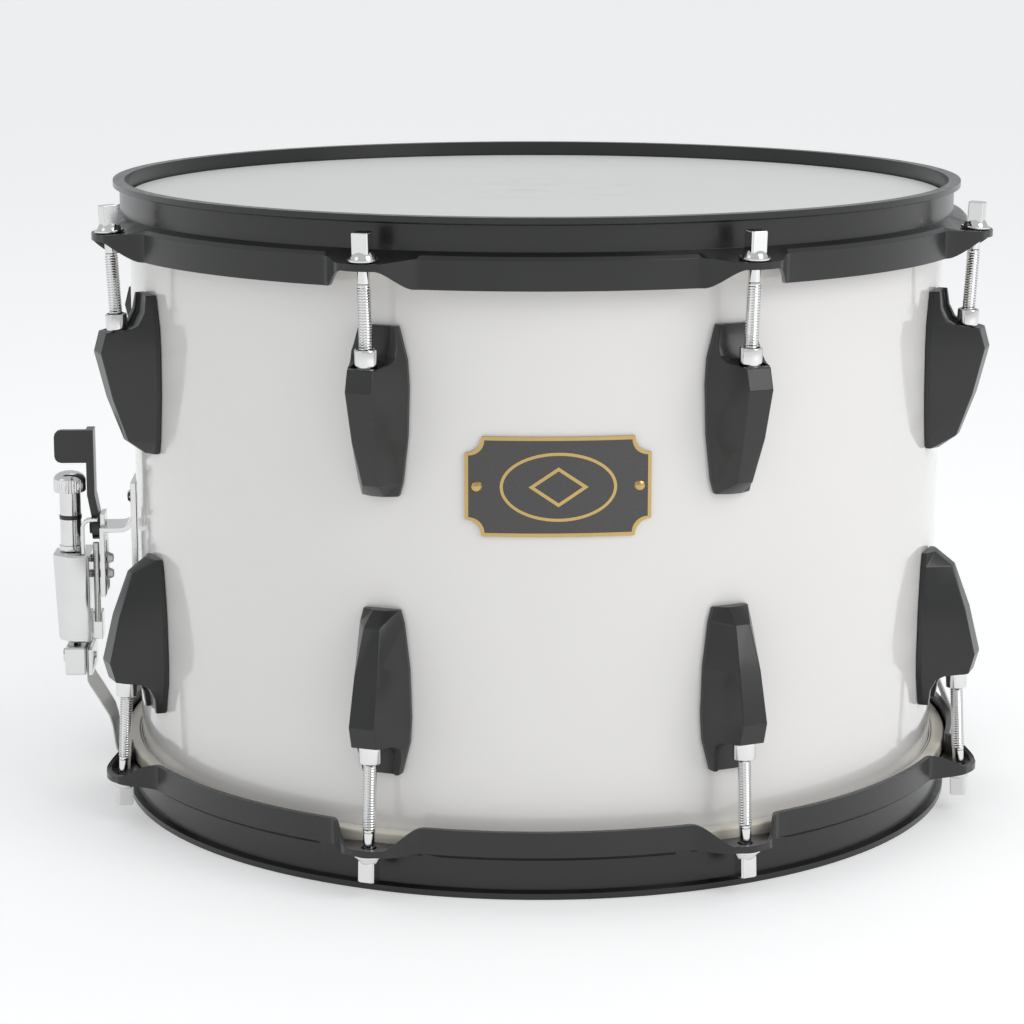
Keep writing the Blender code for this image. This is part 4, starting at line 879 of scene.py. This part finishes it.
# Knob: a chromed cap, 14.2 mm across, with a knurled band, on a shaft of 9.4 mm with a dark ring,
# and the screw that runs down into the clamp's stem.
KNOB_X = -0.2065
KNURLS = 36
KNURL_DEPTH = 0.00016
BAND = (0.1296, 0.1344)
KNOB_STEPS = 144
RING_STEPS = 48


def knurl(turn, z):
    """How far the surface dips at this turn, which is only in the band."""
    in_band = BAND[0] - SLIVER <= z <= BAND[1] + SLIVER
    return KNURL_DEPTH * (math.cos(KNURLS * turn) - 1.0) if in_band else 0.0


knob_profile = [
    (0.0, 0.1380),
    (0.0025, 0.13785),
    (0.0045, 0.1373),
    (0.0060, 0.1364),
    (0.0068, 0.1353),
    (0.0070, 0.1347),
    (0.0071, BAND[1]),
    (0.0071, 0.1328),
    (0.0071, 0.1312),
    (0.0071, BAND[0]),
    (0.0068, 0.1290),
    (0.0064, 0.1288),
    (0.0047, 0.1288),
    (0.0047, 0.1050),
    (0.0053, 0.1047),
    (0.0053, 0.1025),
    (0.0051, 0.1023),
    (0.0015, 0.1023),
    (0.0015, 0.0682),
    (0.0013, 0.0680),
    (0.0, 0.0680),
]
at_knob = Matrix.Translation((KNOB_X, 0, 0))
mesh = turned("knob_piece", knob_profile, KNOB_STEPS, at_knob, ripple=knurl)
shown("knob_piece", mesh, steel, "knob", "chrome", "strainer_knob")
ring = rounded_box(0.0045, 0.00495, 0.1165, 0.1185, 0.0002, 2)
shown("knob_ring", turned("knob_ring", ring, RING_STEPS, at_knob), lever_black, "knob", "black_hoop")

# Straps: two strips of milky plastic film, 24 mm wide and 0.6 mm thick, from the clamp and from the
# butt plate, through the bottom hoop's gates, to the wires. The strainer's has a mesh of its own.
milky = Board("strap_film_milky", IOR=1.5, Transmission_Weight=0.25)
at = milky.place()
cloud = milky.noise(at, 60.0, 4.0)
lines = milky.noise(at.scaled(1.0, 14.0, 1.0), 180.0, 4.0)
milky.bump(lines * 0.5 + cloud * 0.5, 0.00008, 0.3)
milky.paint(
    Base_Color=cloud.blend((0.80, 0.80, 0.775), (0.66, 0.66, 0.63)),
    Roughness=(cloud * 0.5 + lines * 0.5).between(0.22, 0.42),
)
dressed("butt_strap", milky.material, "strap_film", 0.0)
strap = dressed("strainer_strap", milky.material, "strap_film", 0.0)
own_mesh(strap)

# Snare wires: twenty coils of bright wire, 1.8 mm across, between two end plates under the bottom
# head. With the plates they are 300 mm long.
STRANDS = 20
STRAND_PITCH = 0.002
WIRE_LEVEL = 0.0051
WIRE_HALF = 0.1375
COIL_PITCH = 0.0024
COIL_RADIUS = 0.00068
WIRE_RADIUS = 0.00021
COIL_STEPS = 7
WIRE_SIDES = 3
WIRE_END = 0.150
PLATE_HALF = (0.0065, 0.0199, 0.0006)

bright = polished("snare_steel", (0.62, 0.62, 0.61), 0.16, 0.34)
random.seed(4)
shape = bmesh.new()
for strand in range(STRANDS):
    across = (strand - (STRANDS - 1) / 2) * STRAND_PITCH
    phase = random.uniform(0.0, math.tau)
    count = round(2 * WIRE_HALF / COIL_PITCH * COIL_STEPS)
    before = None
    for step in range(count + 1):
        turn = phase + math.tau * step / COIL_STEPS
        out = Vector((0.0, math.cos(turn), math.sin(turn)))
        middle = Vector((-WIRE_HALF + 2 * WIRE_HALF * step / count, across, WIRE_LEVEL))
        ring = []
        for k in range(WIRE_SIDES):
            lean = math.tau * k / WIRE_SIDES
            side = out * math.cos(lean) + Vector((1.0, 0.0, 0.0)) * math.sin(lean)
            ring.append(shape.verts.new(middle + out * COIL_RADIUS + side * WIRE_RADIUS))
        if before:
            for k in range(WIRE_SIDES):
                n = (k + 1) % WIRE_SIDES
                shape.faces.new((before[k], before[n], ring[n], ring[k]))
        else:
            shape.faces.new(ring)
        before = ring
    shape.faces.new(before)
shown("snare_coils", mesh_of("snare_coils", shape, 80.0), bright, "drum", "snare_wire", "snare_wires")
for side, label in ((-1, "strainer"), (1, "butt")):
    shape = bmesh.new()
    size = Matrix.Diagonal((*[2 * half for half in PLATE_HALF], 1.0))
    middle = Matrix.Translation((side * (WIRE_END - PLATE_HALF[0]), 0.0, WIRE_LEVEL))
    bmesh.ops.create_cube(shape, size=1.0, matrix=middle @ size)
    plate = shown(f"{label}_end_plate", mesh_of("end_plate", shape), bright, "drum", "snare_wire")
    add_bevel(plate, 0.0003)

# Studio: a pale floor, a white surround, a wide soft key from the front right, a weaker fill from the
# left and a third light over the drum. The camera stands where one fitted to the photo does.
FLOOR_RADIUS = 40.0
FLOOR_DROP = 0.0002
FLOOR_GLOW = 0.33
SKY_STRENGTH = 0.62
AIM = (0.0, 0.0, 0.13)
CAMERA_AT = (-0.0628, -1.2669, 0.3816)
CAMERA_TILT = 0.2052
CAMERA_PAN = -0.0412
LENS = 102.03

floor_board = Board("studio_floor", Emission_Strength=FLOOR_GLOW)
at = floor_board.place()
floor_board.paint(
    Base_Color=floor_board.noise(at, 3.0, 3.0).blend((0.86, 0.86, 0.86), (0.84, 0.84, 0.84)),
    Roughness=floor_board.noise(at, 8.0, 2.0).between(0.75, 0.9),
    Emission_Color=(1.0, 1.0, 1.0),
)
shape = bmesh.new()
bmesh.ops.create_circle(shape, cap_ends=True, segments=96, radius=FLOOR_RADIUS)
floor = bpy.data.objects.new("floor", mesh_of("floor", shape))
bpy.context.scene.collection.objects.link(floor)
floor.location.z = -FLOOR_DROP
floor.data.materials.append(floor_board.material)
floor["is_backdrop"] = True

world = bpy.data.worlds.new("studio")
world.use_nodes = True
bpy.context.scene.world = world
tree = world.node_tree
backdrop = tree.nodes["Background"]
backdrop.inputs["Color"].default_value = (1.0, 1.0, 1.0, 1.0)
backdrop.inputs["Strength"].default_value = 1.0
sky = tree.nodes.new("ShaderNodeBackground")
sky.inputs["Color"].default_value = (0.96, 0.98, 1.0, 1.0)
sky.inputs["Strength"].default_value = SKY_STRENGTH
rays = tree.nodes.new("ShaderNodeLightPath")
choice = tree.nodes.new("ShaderNodeMixShader")
tree.links.new(rays.outputs["Is Camera Ray"], choice.inputs[0])
tree.links.new(sky.outputs[0], choice.inputs[1])
tree.links.new(backdrop.outputs[0], choice.inputs[2])
tree.links.new(choice.outputs[0], tree.nodes["World Output"].inputs["Surface"])

LIGHTS = {
    "key": {"at": (1.3, -1.2, 1.15), "size": 1.1, "power": 11.0},
    "fill": {"at": (-1.5, -0.9, 0.9), "size": 0.9, "power": 1.5},
    "strip": {"at": (0.2, 0.5, 1.7), "size": 1.4, "power": 3.0},
}
for name, light in LIGHTS.items():
    data = bpy.data.lights.new(name, "AREA")
    data.size = light["size"]
    data.energy = light["power"]
    lamp = bpy.data.objects.new(name, data)
    bpy.context.scene.collection.objects.link(lamp)
    lamp.location = light["at"]
    lamp.rotation_euler = (Vector(AIM) - lamp.location).to_track_quat("-Z", "Y").to_euler()

camera_data = bpy.data.cameras.new("camera")
camera_data.lens = LENS
camera_data.sensor_width = 36.0
camera_data.dof.use_dof = False
camera_data.clip_end = 100.0
camera = bpy.data.objects.new("camera", camera_data)
bpy.context.scene.collection.objects.link(camera)
camera.location = CAMERA_AT
camera.rotation_euler = (math.pi / 2 - CAMERA_TILT, 0.0, CAMERA_PAN)
bpy.context.scene.camera = camera
bpy.context.scene.view_settings.view_transform = "Standard"

low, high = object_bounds()
